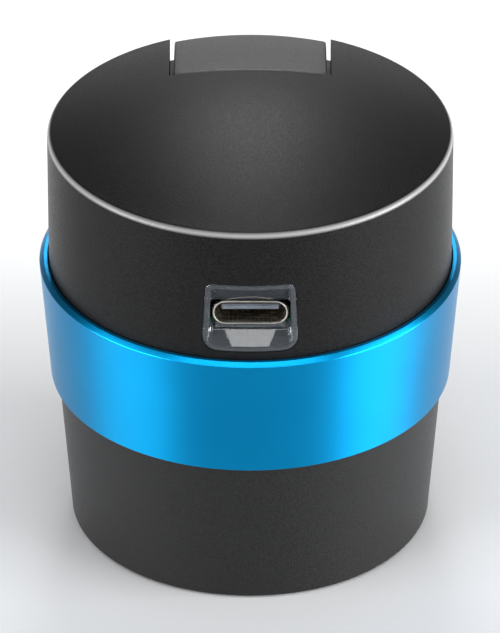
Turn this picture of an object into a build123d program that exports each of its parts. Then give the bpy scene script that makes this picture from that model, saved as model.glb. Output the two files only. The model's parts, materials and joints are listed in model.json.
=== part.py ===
"""A palm-sized colour meter that stands in its calibration cup.

The meter is a round black instrument with a shallow dome, a thumb key let into the back of the
dome and a charging port in its front. Its lower part is a tapered measuring nose, which looks
down through a small window. The nose stands in a tapered cup with a blue metal ring round its
rim, and the cup holds the white tile that the meter is calibrated on.

The origin is the centre of the foot's underside and +Z is up. The port faces -Y and the thumb
key is at the back, +Y. All sizes are in millimetres.
"""

from build123d import *
import math
import os

# Clearances
bond_gap = 0.03  # between pieces that are glued or pressed together
seat_gap = 0.05  # between pieces that rest on or are screwed to each other
thread_gap = 0.05  # round a screw in its hole
lift_gap = 0.15  # between the instrument and the ring that it stands in
hinge_gap = 0.05  # round the key's pin
nose_gap = 1.0  # between the nose and the inside of the cup

# Outer form
shell_radius = 24.0
shell_height = 21.0  # from the seam up to the rim where the dome begins
dome_rise = 3.9
rim_fillet = 0.8
seam_height = 31.0  # where the instrument stands on the cup's rim
taper_angle = 4.5  # taper of the cup, the ring and the nose, in degrees
right_angle = 90
ring_height = 15.5
socket_depth = 4.1  # how far the ring stands above the seam
ring_wall = 0.86
ring_chamfer = 0.5
ring_lower_chamfer = 0.15

# Cup
cup_wall = 1.6
cup_floor = 2.4
cup_edge_fillet = 0.5
cup_corner_fillet = 0.8
flange_height = 0.8
flange_step = 0.1  # how far the rim's flange stands out past the shell
pad_radius = 18.0
pad_thickness = 0.8
pad_proud = 0.2  # how far the foot pad stands below the cup's edge

# Calibration tile and its holder
cushion_thickness = 0.8
tile_thickness = 2.5
tile_chamfer = 0.2
holder_gap = 0.6  # from the holder's flange to the magnets' posts
holder_wall = 1.2
holder_lip = 0.6
lip_width = 1.3
holder_flange = 1.6
holder_flange_width = 3.0

# Magnets that hold the instrument in the cup
magnet_count = 4
holder_screw_count = 3
magnet_radius = 2.0
magnet_height = 2.0
magnet_margin = 0.4  # from the magnets' posts to the nose's outside
magnet_wall = 0.8
magnet_skin = 0.6
magnet_clearance = 0.5  # from the cup's magnet posts to the nose

# Measuring nose
contact_gap = 0.1  # between the contact ring and the tile
contact_proud = 0.9
contact_depth = 0.5
contact_width = 2.8
contact_lip_gap = 0.45  # from the contact ring to the holder's lip
aperture_step = 0.5
nose_wall = 1.6
nose_chamfer = 0.6
contact_fillet = 0.3
nose_floor = 2.0
spigot_height = 2.2
spigot_gap = 0.1
seal_height = 0.9
seal_depth = 0.8
seal_drop = 0.6  # from the spigot's top down to the seal's groove

# Window and optics
window_radius = 6.0
window_thickness = 1.0
gasket_thickness = 0.5
gasket_width = 1.3
optics_gap = 1.55  # from the optics block to the nose's columns
lamp_count = 6
lamp_turn = 30  # degrees that the lamps are turned off the screws' line
lamp_side = 1.8
lamp_height = 0.8
lamp_bore = 1.1
lamp_pocket = 1.45
lamp_land = 2.2  # from the circle of lamps to the block's edge
chamber_radius = 5.0
chamber_height = 0.6
eye_web = 0.4  # between the chamber and the lens's seat
eye_bore = 2.0
lens_radius = 2.8
lens_gap = 0.05
lens_thickness = 1.2
lens_ball = 5.0
lens_ring_height = 0.6
lens_ring_width = 0.7
sensor_side = 3.0
sensor_height = 0.9
sensor_board_thickness = 1.0
sensor_board_margin = 0.4
sensor_screw_inset = 1.9  # from the circle of lamps to the board's screws

# Screws
column_margin = 0.4  # from the nose's columns to its outside
column_count = 4
column_turn = 45  # degrees that the columns are turned off the port's direction
column_radius = 2.2
main_screw_radius = 1.0
main_screw_head = 1.8
main_screw_head_height = 1.4
socket_share = 0.5  # of the head's radius, half the socket's width over its corners
socket_sink = 0.6  # of the head's height, the socket's depth
socket_sides = 6
main_screw_grip = 5.0  # length in the shell's column
column_web = 3.0  # thickness under the head at the top of the nose's column
column_wall = 0.6
small_screw_radius = 0.8
small_screw_head = 1.35
small_screw_head_height = 0.9
small_screw_grip = 1.4

# Shell
shell_wall = 2.2
spigot_wall = 1.6
roof_thickness = 2.0
shell_edge_chamfer = 0.3

# Battery and its carrier
carrier_gap = 0.7  # from the carrier's wall to the shell's columns
cell_height = 7.7
cell_gap = 0.25
cell_headroom = 0.8  # from the cell up to the connectors under the board
cell_pad_gap = 0.5  # from the pad to the connector
cell_edge = 0.6
carrier_wall = 1.2
carrier_floor = 1.2
carrier_rim = 0.6  # how far the carrier's wall stands above the cell
lug_thickness = 1.6
carrier_plate_gap = 0.8  # from the carrier's plate to the shell
post_gap = 1.1  # from the posts to the carrier's wall
post_radius = 1.8
post_count = 3
tab_width = 3.0
tab_thickness = 0.2
tab_slot_gap = 0.3

# Main board
port_drop = 11.7  # from the rim down to the port's centre
board_thickness = 1.0
board_margin = 1.0  # from the board's edge to the shell
column_clearance = 0.4
board_front_gap = 0.3  # from the board to the back of the port's bezel

# Charging port
usb_width = 8.94
usb_height = 3.26
usb_wall = 0.3
usb_length = 7.3
usb_recess = 2.0  # from the shell's front to the port's mouth
usb_corner = 1.6
usb_lift = 0.05
tongue_width = 6.7
tongue_thickness = 0.7
tongue_length = 4.5
insulator_depth = 1.6
contact_count = 12
contact_pitch = 0.5
contact_pad = 0.25
contact_length = 3.4
contact_thickness = 0.05
contact_setback = 0.4

# Bezel round the port
bezel_top_width = 10.5
bezel_bottom_width = 11.3
bezel_height = 9.0
bezel_lift = 0.3  # from the port's centre up to the bezel's centre
bezel_rim = 0.65
bezel_depth = 3.4
bezel_top_corner = 0.9
bezel_bottom_corner = 1.7
pocket_depth = 1.6
mouth_width = 9.4
mouth_height = 4.0
mouth_corner = 0.5

# Thumb key
key_width = 18.2
key_front = 8.4
key_side_gap = 0.55
key_front_gap = 0.3
key_tilt = 1.5  # how much more the key slopes to the back than the dome, in degrees
key_roof = 1.4
key_wall = 1.2
key_rear_inset = 0.1
key_edge_fillet = 0.9
key_travel = 2.5  # in degrees
key_floor_clearance = 0.2
pocket_drop = 3.1  # from the rim down to the key's pocket floor
pocket_wall = 1.2
pocket_floor_wall = 1.2
hinge_setback = 1.4  # from the key's front edge to its pin
hinge_drop = 2.3  # from the key's underside to its pin
pin_radius = 0.6
knuckle_radius = 1.2
knuckle_width = 10.0
lug_width = 1.5
lug_gap = 0.2
stem_inset = 6.5  # from the shell's outside to the stem
stem_radius = 1.1
stem_slack = 0.4
stem_gap = 0.1
spring_wire = 0.35
spring_radius = 1.95
spring_turns = 2.25
spring_steps = 64  # places per turn where the gap between turns is measured
arcs_per_turn = 4
spring_boss = 2.5
spring_boss_height = 0.2  # of the boss under the key, at its lower side

# Switch under the key
switch_side = 4.5
switch_height = 2.0
switch_cover = 0.2
plunger_radius = 1.0
plunger_height = 1.6
plunger_proud = 0.7
plunger_gap = 0.1
plunger_fillet = 0.2
plunger_room = 0.3  # left under the plunger at the end of its travel
switch_board_width = 13.0
switch_board_depth = 8.4
switch_board_thickness = 0.8
switch_board_setback = 1.2  # from the board's middle forwards of the key's stem
switch_boss_height = 3.5
switch_boss_radius = 1.6
switch_boss_spacing = 9.6
switch_boss_setback = 3.6

# Parts on the boards
can_width = 12.0
can_depth = 10.0
can_height = 1.8
can_wall = 0.25
can_place = (-5.5, 1.5)
chip_side = 4.0
chip_height = 0.9
chip_place = (7.0, -3.0)
antenna_width = 2.0
antenna_depth = 5.0
antenna_height = 1.0
antenna_inset = 4.8  # from the board's edge
antenna_shift = 4.5
status_width = 1.6
status_depth = 0.8
status_height = 0.6
status_place = 5.6  # sideways from the port's centre
status_setback = 1.2  # from the board's front edge
connector_width = 7.0
connector_depth = 3.0
connector_height = 1.2
flex_thickness = 0.2
flex_width = 5.0
flex_bend = 1.0
flex_slot_gap = 0.6
switch_flex_bend = 0.8
sensor_flex_gap = 1.6  # from the carrier's wall forwards to the sensor's ribbon
sensor_connector_inset = 3.4  # from the board's edge
main_connector_gap = 0.4  # from the connector to the carrier's bore
switch_connector_setback = 7.0  # forwards of the key's stem
switch_flex_setback = 9.9  # from the stem forwards to where the switch's ribbon rises
switch_flex_width = 3.0
switch_connector_width = 4.4

# Levels and radii worked out from the sizes
taper = math.tan(math.radians(taper_angle))
dome_ball = (shell_radius**2 + dome_rise**2) / (2 * dome_rise)
rim_height = seam_height + shell_height
crown_height = rim_height + dome_rise
ring_top = seam_height + socket_depth
ring_bottom = ring_top - ring_height
port_height = rim_height - port_drop
seat_radius = shell_radius - 2 * bond_gap
flange_radius = shell_radius + flange_step
ring_bore = shell_radius + lift_gap


def cone_radius(height):
    """Radius of the cup's outer cone at a height."""
    return seat_radius - (seam_height - height) * taper


def cup_bore(height):
    """Radius of the cup's inside at a height."""
    return cone_radius(height) - cup_wall


def nose_radius(height):
    """Radius of the nose's outside at a height."""
    return cup_bore(height) - nose_gap


def nose_bore(height):
    """Radius of the nose's inside at a height."""
    return nose_radius(height) - nose_wall


def dome_height(distance, ball=dome_ball):
    """Height of the dome at a distance from the axis."""
    return crown_height - dome_ball + math.sqrt(ball**2 - distance**2)


cup_floor_top = pad_proud + cup_floor
tile_bottom = cup_floor_top + cushion_thickness
tile_top = tile_bottom + tile_thickness
sample_plane = tile_top + contact_gap
nose_bottom = sample_plane + contact_proud
nose_floor_top = nose_bottom + nose_floor
shell_bottom = seam_height + seat_gap
spigot_bore = shell_radius - spigot_wall
spigot_radius = spigot_bore - spigot_gap
spigot_top = shell_bottom + spigot_height
shell_bore = shell_radius - shell_wall
column_pad = main_screw_head + thread_gap + column_wall
column_circle = nose_radius(nose_bottom) - column_pad - column_margin
magnet_post = magnet_radius + magnet_wall
magnet_circle = nose_radius(nose_bottom) - magnet_post - magnet_margin
holder_flange_radius = magnet_circle - magnet_post - holder_gap
holder_radius = holder_flange_radius - holder_flange_width
holder_bore = holder_radius - holder_wall
holder_screw_circle = holder_radius + holder_flange_width / 2
tile_radius = holder_bore - seat_gap
contact_radius = holder_bore - lip_width - contact_lip_gap
aperture_radius = contact_radius - contact_width
optics_radius = column_circle - column_pad - optics_gap
lamp_circle = optics_radius - lamp_land
lamp_face = sample_plane + lamp_circle  # light falls on the sample at 45 degrees
optics_top = lamp_face + lamp_height
optics_height = optics_top - nose_floor_top
sensor_screw_circle = lamp_circle - sensor_screw_inset
sensor_board_bottom = optics_top + seat_gap
sensor_board_top = sensor_board_bottom + sensor_board_thickness
sensor_board_radius = optics_radius + sensor_board_margin
sensor_connector_place = sensor_board_radius - sensor_connector_inset
lug_bottom = spigot_top + seat_gap
column_bottom = lug_bottom + lug_thickness + seat_gap
board_top = port_height - usb_height / 2 - usb_lift
board_bottom = board_top - board_thickness
board_radius = shell_bore - board_margin
carrier_radius = column_circle - column_radius - carrier_gap
carrier_bore = carrier_radius - carrier_wall
tab_rise = carrier_bore + tab_slot_gap + tab_thickness / 2
cell_radius = carrier_bore - cell_gap
post_circle = carrier_radius + post_gap + post_radius
sensor_flex_place = carrier_radius + sensor_flex_gap
main_connector_place = carrier_bore - main_connector_gap - connector_depth / 2
cell_pad_radius = main_connector_place - connector_depth / 2 - cell_pad_gap
cell_top = board_bottom - connector_height - cell_headroom
cell_bottom = cell_top - cell_height
carrier_plate = shell_bore - carrier_plate_gap
carrier_bottom = cell_bottom - carrier_floor - tab_thickness - seat_gap
usb_front = shell_radius - usb_recess
tongue_front = usb_front - usb_length + insulator_depth + tongue_length
bezel_centre = port_height + bezel_lift
bezel_back = shell_radius - bezel_depth
board_front = bezel_back - board_front_gap
pocket_floor = rim_height - pocket_drop
pocket_front = key_front - key_front_gap
pocket_side = key_width / 2 + key_side_gap
pin_place = key_front + hinge_setback
pin_height = dome_height(key_front) - key_roof - hinge_drop
lug_outside = knuckle_width / 2 + lug_gap + lug_width
key_angle = math.radians(key_travel)
key_slope = math.radians(key_tilt)
key_ball_place = key_front - (
    key_front * math.cos(key_slope)
    + (dome_height(key_front) - crown_height + dome_ball) * math.sin(key_slope)
)
key_ball_height = (
    dome_height(key_front)
    + key_front * math.sin(key_slope)
    - (dome_height(key_front) - crown_height + dome_ball) * math.cos(key_slope)
)


def key_height(place, ball=dome_ball):
    """Height of the key's top on its middle line, or of its underside for a smaller ball."""
    return key_ball_height + math.sqrt(ball**2 - (place - key_ball_place) ** 2)


key_skirt = pocket_floor + (shell_radius - pin_place) * math.sin(key_angle) + key_floor_clearance
stem_hole = stem_radius + stem_slack
stem_place = shell_radius - stem_inset
switch_connector_place = stem_place - switch_connector_setback
switch_flex_place = stem_place - switch_flex_setback
switch_board_top = pocket_floor - pocket_floor_wall - switch_boss_height - seat_gap
switch_board_bottom = switch_board_top - switch_board_thickness
plunger_top = switch_board_top + switch_height + switch_cover + plunger_proud
plunger_bottom = plunger_top - plunger_height
stem_bottom = plunger_top + stem_gap
stem_arm = stem_place - pin_place
plunger_travel = stem_arm * key_angle
spring_top = (
    key_height(stem_place + spring_boss, dome_ball - key_roof) - spring_boss_height - seat_gap
)
window_bottom = nose_floor_top + gasket_thickness
window_top = window_bottom + window_thickness
lens_plane = window_top + seat_gap + chamber_height + eye_web
lens_bottom = lens_plane + lens_gap - (lens_ball - math.sqrt(lens_ball**2 - eye_bore**2))
lens_top = lens_bottom + lens_thickness
screw_seat = spigot_top - column_web
up = (Align.CENTER, Align.CENTER, Align.MIN)
down = (Align.CENTER, Align.CENTER, Align.MAX)


def screw(radius, length, head_radius, head_height):
    """A socket screw with its head's underside at the origin and its shank pointing down."""
    with BuildPart() as made:
        Cylinder(radius, length, align=down)
        Cylinder(head_radius, head_height, align=up)
        with BuildSketch(Plane.XY.offset(head_height)):
            RegularPolygon(head_radius * socket_share, socket_sides)
        extrude(amount=-head_height * socket_sink, mode=Mode.SUBTRACT)
    return made.part


def ribbon(points, bend, width, thickness):
    """A flat cable along points in the YZ plane, with a rounded bend at each inner point."""
    with BuildPart() as made:
        with BuildLine(Plane.YZ) as route:
            FilletPolyline(*points, radius=bend)
        with BuildSketch(Plane(origin=route.line @ 0, z_dir=route.line % 0, x_dir=(1, 0, 0))):
            Rectangle(width, thickness)
        sweep(path=route.line)
    return made.part


# Cup: a tapered beaker with a flange at its rim, a post for each magnet and the tile's seat
with BuildPart() as cup_shell:
    with BuildSketch(Plane.XZ):
        with BuildLine():
            Polyline(
                (0, pad_proud),
                (cone_radius(pad_proud), pad_proud),
                (cone_radius(seam_height - flange_height), seam_height - flange_height),
                (flange_radius, seam_height - flange_height),
                (flange_radius, seam_height),
                (cup_bore(seam_height), seam_height),
                (cup_bore(cup_floor_top), cup_floor_top),
                (0, cup_floor_top),
                close=True,
            )
        make_face()
    revolve(axis=Axis.Z)
    fillet(edges().filter_by(GeomType.CIRCLE).group_by(Axis.Z)[0], cup_edge_fillet)
    inner_corner = edges().filter_by(GeomType.CIRCLE).filter_by_position(
        Axis.Z, cup_floor_top - seat_gap, cup_floor_top + seat_gap
    )
    fillet(inner_corner, cup_corner_fillet)
    with BuildSketch(Plane.XY.offset(cup_floor_top)):
        with PolarLocations(magnet_circle, magnet_count):
            Circle(magnet_post)
    extrude(amount=nose_bottom - magnet_clearance - cup_floor_top)
    with Locations((0, 0, nose_bottom - magnet_clearance)):
        with PolarLocations(magnet_circle, magnet_count):
            Hole(magnet_radius + bond_gap, depth=magnet_height + bond_gap)
    with Locations((0, 0, cup_floor_top)):
        with PolarLocations(holder_screw_circle, holder_screw_count, start_angle=right_angle):
            Hole(small_screw_radius + thread_gap, depth=small_screw_grip + thread_gap)
    with BuildSketch(Plane.XY.offset(pad_proud)):
        Circle(pad_radius + bond_gap)
    extrude(amount=pad_thickness - pad_proud + bond_gap, mode=Mode.SUBTRACT)

# Foot pad under the cup
with BuildPart() as foot_pad:
    Cylinder(pad_radius, pad_thickness, align=up)
    fillet(edges().group_by(Axis.Z)[0], pad_proud / 2)

# Blue ring: its upper half is the socket that the instrument drops into
with BuildPart() as grip_ring:
    with BuildSketch(Plane.XZ):
        with BuildLine():
            Polyline(
                (cone_radius(ring_bottom) + bond_gap, ring_bottom),
                (cone_radius(ring_bottom) + ring_wall, ring_bottom),
                (cone_radius(ring_top) + ring_wall, ring_top),
                (ring_bore, ring_top),
                (ring_bore, seam_height - flange_height - bond_gap),
                (
                    cone_radius(seam_height - flange_height - bond_gap) + bond_gap,
                    seam_height - flange_height - bond_gap,
                ),
                close=True,
            )
        make_face()
    revolve(axis=Axis.Z)
    top_edges = edges().filter_by(GeomType.CIRCLE).group_by(Axis.Z)[-1].sort_by(SortBy.RADIUS)
    chamfer(top_edges[-1], ring_chamfer)
    low_edges = edges().filter_by(GeomType.CIRCLE).group_by(Axis.Z)[0].sort_by(SortBy.RADIUS)
    chamfer(low_edges[-1], ring_lower_chamfer)

# Calibration tile, its soft seat and the holder that clips it down
with BuildPart() as tile_cushion:
    with Locations((0, 0, cup_floor_top)):
        Cylinder(tile_radius, cushion_thickness, align=up)

with BuildPart() as calibration_tile:
    with Locations((0, 0, tile_bottom)):
        Cylinder(tile_radius, tile_thickness, align=up)
    chamfer(edges().group_by(Axis.Z)[-1], tile_chamfer)

with BuildPart() as tile_holder:
    with BuildSketch(Plane.XZ):
        with BuildLine():
            Polyline(
                (holder_bore, cup_floor_top),
                (holder_flange_radius, cup_floor_top),
                (holder_flange_radius, cup_floor_top + holder_flange),
                (holder_radius, cup_floor_top + holder_flange),
                (holder_radius, tile_top + contact_gap + holder_lip - seat_gap),
                (holder_bore - lip_width, tile_top + contact_gap + holder_lip - seat_gap),
                (holder_bore - lip_width, tile_top + seat_gap),
                (holder_bore, tile_top + seat_gap),
                close=True,
            )
        make_face()
    revolve(axis=Axis.Z)
    with Locations((0, 0, cup_floor_top + holder_flange)):
        with PolarLocations(holder_screw_circle, holder_screw_count, start_angle=right_angle):
            Hole(small_screw_radius + thread_gap, depth=holder_flange)

holder_screw = screw(
    small_screw_radius, holder_flange + small_screw_grip, small_screw_head, small_screw_head_height
)
with BuildPart() as holder_screws:
    with Locations((0, 0, cup_floor_top + holder_flange)):
        with PolarLocations(holder_screw_circle, holder_screw_count, start_angle=right_angle):
            add(holder_screw)

with BuildPart() as cup_magnets:
    with Locations((0, 0, nose_bottom - magnet_clearance)):
        with PolarLocations(magnet_circle, magnet_count):
            Cylinder(magnet_radius, magnet_height, align=down)

# Nose: tapered housing with a floor, a spigot that plugs the shell and four screw columns
with BuildPart() as nose_hollow:
    with BuildSketch(Plane.XZ):
        with BuildLine():
            Polyline(
                (0, nose_floor_top),
                (nose_bore(nose_floor_top), nose_floor_top),
                (nose_bore(spigot_top), spigot_top),
                (0, spigot_top),
                close=True,
            )
        make_face()
    revolve(axis=Axis.Z)
    with BuildSketch(Plane.XY.offset(nose_floor_top)):
        with PolarLocations(column_circle, column_count, start_angle=column_turn):
            Circle(column_pad)
    extrude(amount=spigot_top - nose_floor_top, mode=Mode.SUBTRACT)
    with BuildSketch(Plane.XY.offset(nose_floor_top)):
        with PolarLocations(magnet_circle, magnet_count):
            Circle(magnet_post)
    extrude(amount=nose_bottom + magnet_skin + magnet_height - nose_floor_top, mode=Mode.SUBTRACT)

with BuildPart() as seal_groove:
    with Locations((0, 0, spigot_top - seal_drop)):
        Cylinder(spigot_radius, seal_height, align=down)
        Cylinder(spigot_radius - seal_depth, seal_height, align=down, mode=Mode.SUBTRACT)

with BuildPart() as nose_housing:
    with BuildSketch(Plane.XZ):
        with BuildLine():
            Polyline(
                (0, nose_bottom),
                (nose_radius(nose_bottom), nose_bottom),
                (nose_radius(shell_bottom), shell_bottom),
                (spigot_radius, shell_bottom),
                (spigot_radius, spigot_top),
                (0, spigot_top),
                close=True,
            )
        make_face()
    revolve(axis=Axis.Z)
    chamfer(edges().filter_by(GeomType.CIRCLE).group_by(Axis.Z)[0], nose_chamfer)
    add(nose_hollow.part, mode=Mode.SUBTRACT)
    add(seal_groove.part, mode=Mode.SUBTRACT)
    with Locations((0, 0, spigot_top)):
        with PolarLocations(column_circle, column_count, start_angle=column_turn):
            Hole(main_screw_radius + thread_gap, depth=spigot_top - nose_bottom)
    with BuildSketch(Plane.XY.offset(nose_bottom)):
        with PolarLocations(column_circle, column_count, start_angle=column_turn):
            Circle(main_screw_head + thread_gap)
    extrude(amount=screw_seat - nose_bottom, mode=Mode.SUBTRACT)
    with Locations((0, 0, nose_bottom + magnet_skin + magnet_height)):
        with PolarLocations(magnet_circle, magnet_count):
            Hole(magnet_radius + bond_gap, depth=magnet_height)
    with Locations((0, 0, nose_bottom)):
        Cylinder(aperture_radius + aperture_step, nose_floor, align=up, mode=Mode.SUBTRACT)
        Cylinder(contact_radius + bond_gap, contact_depth, align=up, mode=Mode.SUBTRACT)
    with Locations((0, 0, nose_floor_top)):
        with PolarLocations(sensor_screw_circle, 2):
            Hole(small_screw_radius + thread_gap, depth=small_screw_grip + thread_gap)

# Contact ring that stands on the sample, magnets of the nose and the seal of the spigot
with BuildPart() as contact_ring:
    with Locations((0, 0, sample_plane)):
        Cylinder(contact_radius, contact_proud + contact_depth - bond_gap, align=up)
        Cylinder(aperture_radius, contact_proud + contact_depth, align=up, mode=Mode.SUBTRACT)
    fillet(edges().filter_by(GeomType.CIRCLE).group_by(Axis.Z)[0], contact_fillet)

with BuildPart() as nose_magnets:
    with Locations((0, 0, nose_bottom + magnet_skin)):
        with PolarLocations(magnet_circle, magnet_count):
            Cylinder(magnet_radius, magnet_height, align=up)

with BuildPart() as spigot_seal:
    with Locations((0, 0, spigot_top - seal_drop - seat_gap)):
        Cylinder(spigot_bore - bond_gap, seal_height - 2 * seat_gap, align=down)
        Cylinder(
            spigot_radius - seal_depth + bond_gap, seal_height, align=down, mode=Mode.SUBTRACT
        )

# Window over the aperture, with the gasket that it is sealed to
with BuildPart() as window_gasket:
    with Locations((0, 0, nose_floor_top)):
        Cylinder(window_radius, gasket_thickness, align=up)
        Cylinder(window_radius - gasket_width, gasket_thickness, align=up, mode=Mode.SUBTRACT)

with BuildPart() as aperture_window:
    with Locations((0, 0, window_bottom)):
        Cylinder(window_radius, window_thickness, align=up)

# Optics block: a slanted channel for each lamp and the lens's bore in the middle
with BuildPart() as optics_block:
    with Locations((0, 0, nose_floor_top)):
        Cylinder(optics_radius, optics_height, align=up)
        Cylinder(
            window_radius + thread_gap,
            window_top + seat_gap - nose_floor_top,
            align=up,
            mode=Mode.SUBTRACT,
        )
    with Locations((0, 0, window_top)):
        Cylinder(chamber_radius, chamber_height + seat_gap, align=up, mode=Mode.SUBTRACT)
    with Locations((0, 0, window_top)):
        Cylinder(eye_bore, lens_plane - window_top, align=up, mode=Mode.SUBTRACT)
    with Locations((0, 0, lens_plane)):
        Cylinder(lens_radius + lens_gap, optics_height, align=up, mode=Mode.SUBTRACT)
    with Locations((0, 0, lamp_face)):
        with PolarLocations(lamp_circle, lamp_count, start_angle=lamp_turn):
            Cylinder(lamp_pocket, lamp_height, align=up, mode=Mode.SUBTRACT)
    for turn in range(lamp_count):
        angle = math.radians(lamp_turn + 360 / lamp_count * turn)
        side = Vector(math.cos(angle), math.sin(angle), 0)
        start = side * lamp_circle + Vector(0, 0, lamp_face)
        with Locations(Plane(origin=start, z_dir=-side - Vector(0, 0, 1))):
            Cylinder(
                lamp_bore,
                (lamp_face - window_top) * math.sqrt(2),
                align=up,
                mode=Mode.SUBTRACT,
            )
    with Locations((0, 0, optics_top)):
        with PolarLocations(sensor_screw_circle, 2):
            Hole(small_screw_radius + thread_gap, depth=optics_height)

with BuildPart() as eye_lens:
    with Locations((0, 0, lens_bottom)):
        Cylinder(lens_radius, lens_thickness, align=up)
    with Locations((0, 0, lens_bottom + lens_ball)):
        Sphere(lens_ball, mode=Mode.INTERSECT)

with BuildPart() as lens_ring:
    with Locations((0, 0, lens_top)):
        Cylinder(lens_radius, lens_ring_height, align=up)
        Cylinder(lens_radius - lens_ring_width, lens_ring_height, align=up, mode=Mode.SUBTRACT)

# Sensor board on top of the block, with the colour sensor and the lamps under it
with BuildPart() as sensor_board:
    with Locations((0, 0, sensor_board_bottom)):
        Cylinder(sensor_board_radius, sensor_board_thickness, align=up)
    with Locations((0, 0, sensor_board_top)):
        with PolarLocations(sensor_screw_circle, 2):
            Hole(small_screw_radius + thread_gap, depth=sensor_board_thickness)

with BuildPart() as colour_sensor:
    with Locations((0, 0, sensor_board_bottom)):
        Box(sensor_side, sensor_side, sensor_height, align=down)

with BuildPart() as sample_lamps:
    with Locations((0, 0, sensor_board_bottom)):
        with PolarLocations(lamp_circle, lamp_count, start_angle=lamp_turn):
            Box(lamp_side, lamp_side, lamp_height, align=down)

sensor_screw = screw(
    small_screw_radius,
    sensor_board_top + seat_gap - nose_floor_top + small_screw_grip,
    small_screw_head,
    small_screw_head_height,
)
with BuildPart() as sensor_screws:
    with Locations((0, 0, sensor_board_top + seat_gap)):
        with PolarLocations(sensor_screw_circle, 2):
            add(sensor_screw)

# Battery: a coin cell in a carrier that is clamped between the nose and the shell
with BuildPart() as battery_carrier:
    with Locations((0, 0, carrier_bottom)):
        Cylinder(carrier_radius, cell_top + carrier_rim - carrier_bottom, align=up)
    with Locations((0, 0, lug_bottom)):
        Cylinder(carrier_plate, lug_thickness, align=up)
        with PolarLocations(post_circle, post_count, angular_range=180, endpoint=True):
            Cylinder(post_radius, board_bottom - seat_gap - lug_bottom, align=up)
    with Locations((0, 0, carrier_bottom + carrier_floor)):
        Cylinder(carrier_bore, cell_top + cell_height, align=up, mode=Mode.SUBTRACT)
        Box(
            2 * (carrier_radius - seat_gap),
            tab_width + 2 * tab_slot_gap,
            cell_top + cell_height,
            align=up,
            mode=Mode.SUBTRACT,
        )
    with Locations((0, 0, board_bottom - seat_gap)):
        with PolarLocations(post_circle, post_count, angular_range=180, endpoint=True):
            Hole(small_screw_radius + thread_gap, depth=small_screw_grip + thread_gap)
    with Locations((0, 0, lug_bottom + lug_thickness)):
        with PolarLocations(column_circle, column_count, start_angle=column_turn):
            Hole(main_screw_radius + thread_gap, depth=lug_thickness)
    with Locations((0, -sensor_flex_place - flex_slot_gap, lug_bottom)):
        Box(
            connector_width + 2 * flex_slot_gap,
            sensor_flex_place + flex_slot_gap,
            cell_top,
            align=(Align.CENTER, Align.MIN, Align.MIN),
            mode=Mode.SUBTRACT,
        )

with BuildPart() as battery_cell:
    with Locations((0, 0, cell_bottom)):
        Cylinder(cell_radius, cell_height, align=up)
    fillet(edges().group_by(Axis.Z)[0], cell_edge)
    fillet(edges().group_by(Axis.Z)[-1], cell_edge)

with BuildPart() as cell_pad:
    with Locations((0, 0, cell_top + seat_gap)):
        Cylinder(cell_pad_radius, board_bottom - cell_top - 2 * seat_gap, align=up)

# Contact tabs: one under the cell and one on it, each turned up through its slot to the board
with BuildPart() as cell_tabs:
    for side, level in ((-1, carrier_bottom + carrier_floor), (1, cell_top + seat_gap)):
        with Locations((side * tab_rise, 0, level)):
            Box(tab_thickness, tab_width, board_bottom - seat_gap - level, align=up)
        with Locations((side * (tab_rise + cell_pad_radius + tab_slot_gap) / 2, 0, level)):
            Box(tab_rise - cell_pad_radius - tab_slot_gap, tab_width, tab_thickness, align=up)

# Main board, on the carrier's posts, with a hole round each of the shell's columns
with BuildPart() as main_board:
    with Locations((0, 0, board_bottom)):
        Cylinder(board_radius, board_thickness, align=up)
    with Locations((0, -board_front, board_bottom)):
        Box(
            2 * board_radius,
            board_radius,
            board_thickness,
            align=(Align.CENTER, Align.MAX, Align.MIN),
            mode=Mode.SUBTRACT,
        )
    with Locations((0, 0, board_top)):
        with PolarLocations(column_circle, column_count, start_angle=column_turn):
            Hole(column_radius + column_clearance, depth=board_thickness)
        with PolarLocations(post_circle, post_count, angular_range=180, endpoint=True):
            Hole(small_screw_radius + thread_gap, depth=board_thickness)

board_screw = screw(
    small_screw_radius,
    board_thickness + 2 * seat_gap + small_screw_grip,
    small_screw_head,
    small_screw_head_height,
)
with BuildPart() as board_screws:
    with Locations((0, 0, board_top + seat_gap)):
        with PolarLocations(post_circle, post_count, angular_range=180, endpoint=True):
            add(board_screw)

with BuildPart() as processor_can:
    with Locations((*can_place, board_top)):
        Box(can_width, can_depth, can_height, align=up)
        Box(
            can_width - 2 * can_wall,
            can_depth - 2 * can_wall,
            can_height - can_wall,
            align=up,
            mode=Mode.SUBTRACT,
        )

with BuildPart() as charger_chip:
    with Locations((*chip_place, board_top)):
        Box(chip_side, chip_side, chip_height, align=up)

with BuildPart() as radio_antenna:
    with Locations((board_radius - antenna_inset, antenna_shift, board_top)):
        Box(antenna_width, antenna_depth, antenna_height, align=up)

with BuildPart() as status_lamps:
    for side in (-1, 1):
        with Locations((side * status_place, status_setback - board_front, board_top)):
            Box(status_width, status_depth, status_height, align=up)

# Connectors and the two ribbons between the boards
with BuildPart() as ribbon_connectors:
    with Locations((0, -sensor_connector_place, sensor_board_top)):
        Box(connector_width, connector_depth, connector_height, align=up)
    with Locations((0, -main_connector_place, board_bottom)):
        Box(connector_width, connector_depth, connector_height, align=down)
    with Locations((0, switch_connector_place, board_top)):
        Box(switch_connector_width, connector_depth, connector_height, align=up)

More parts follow.
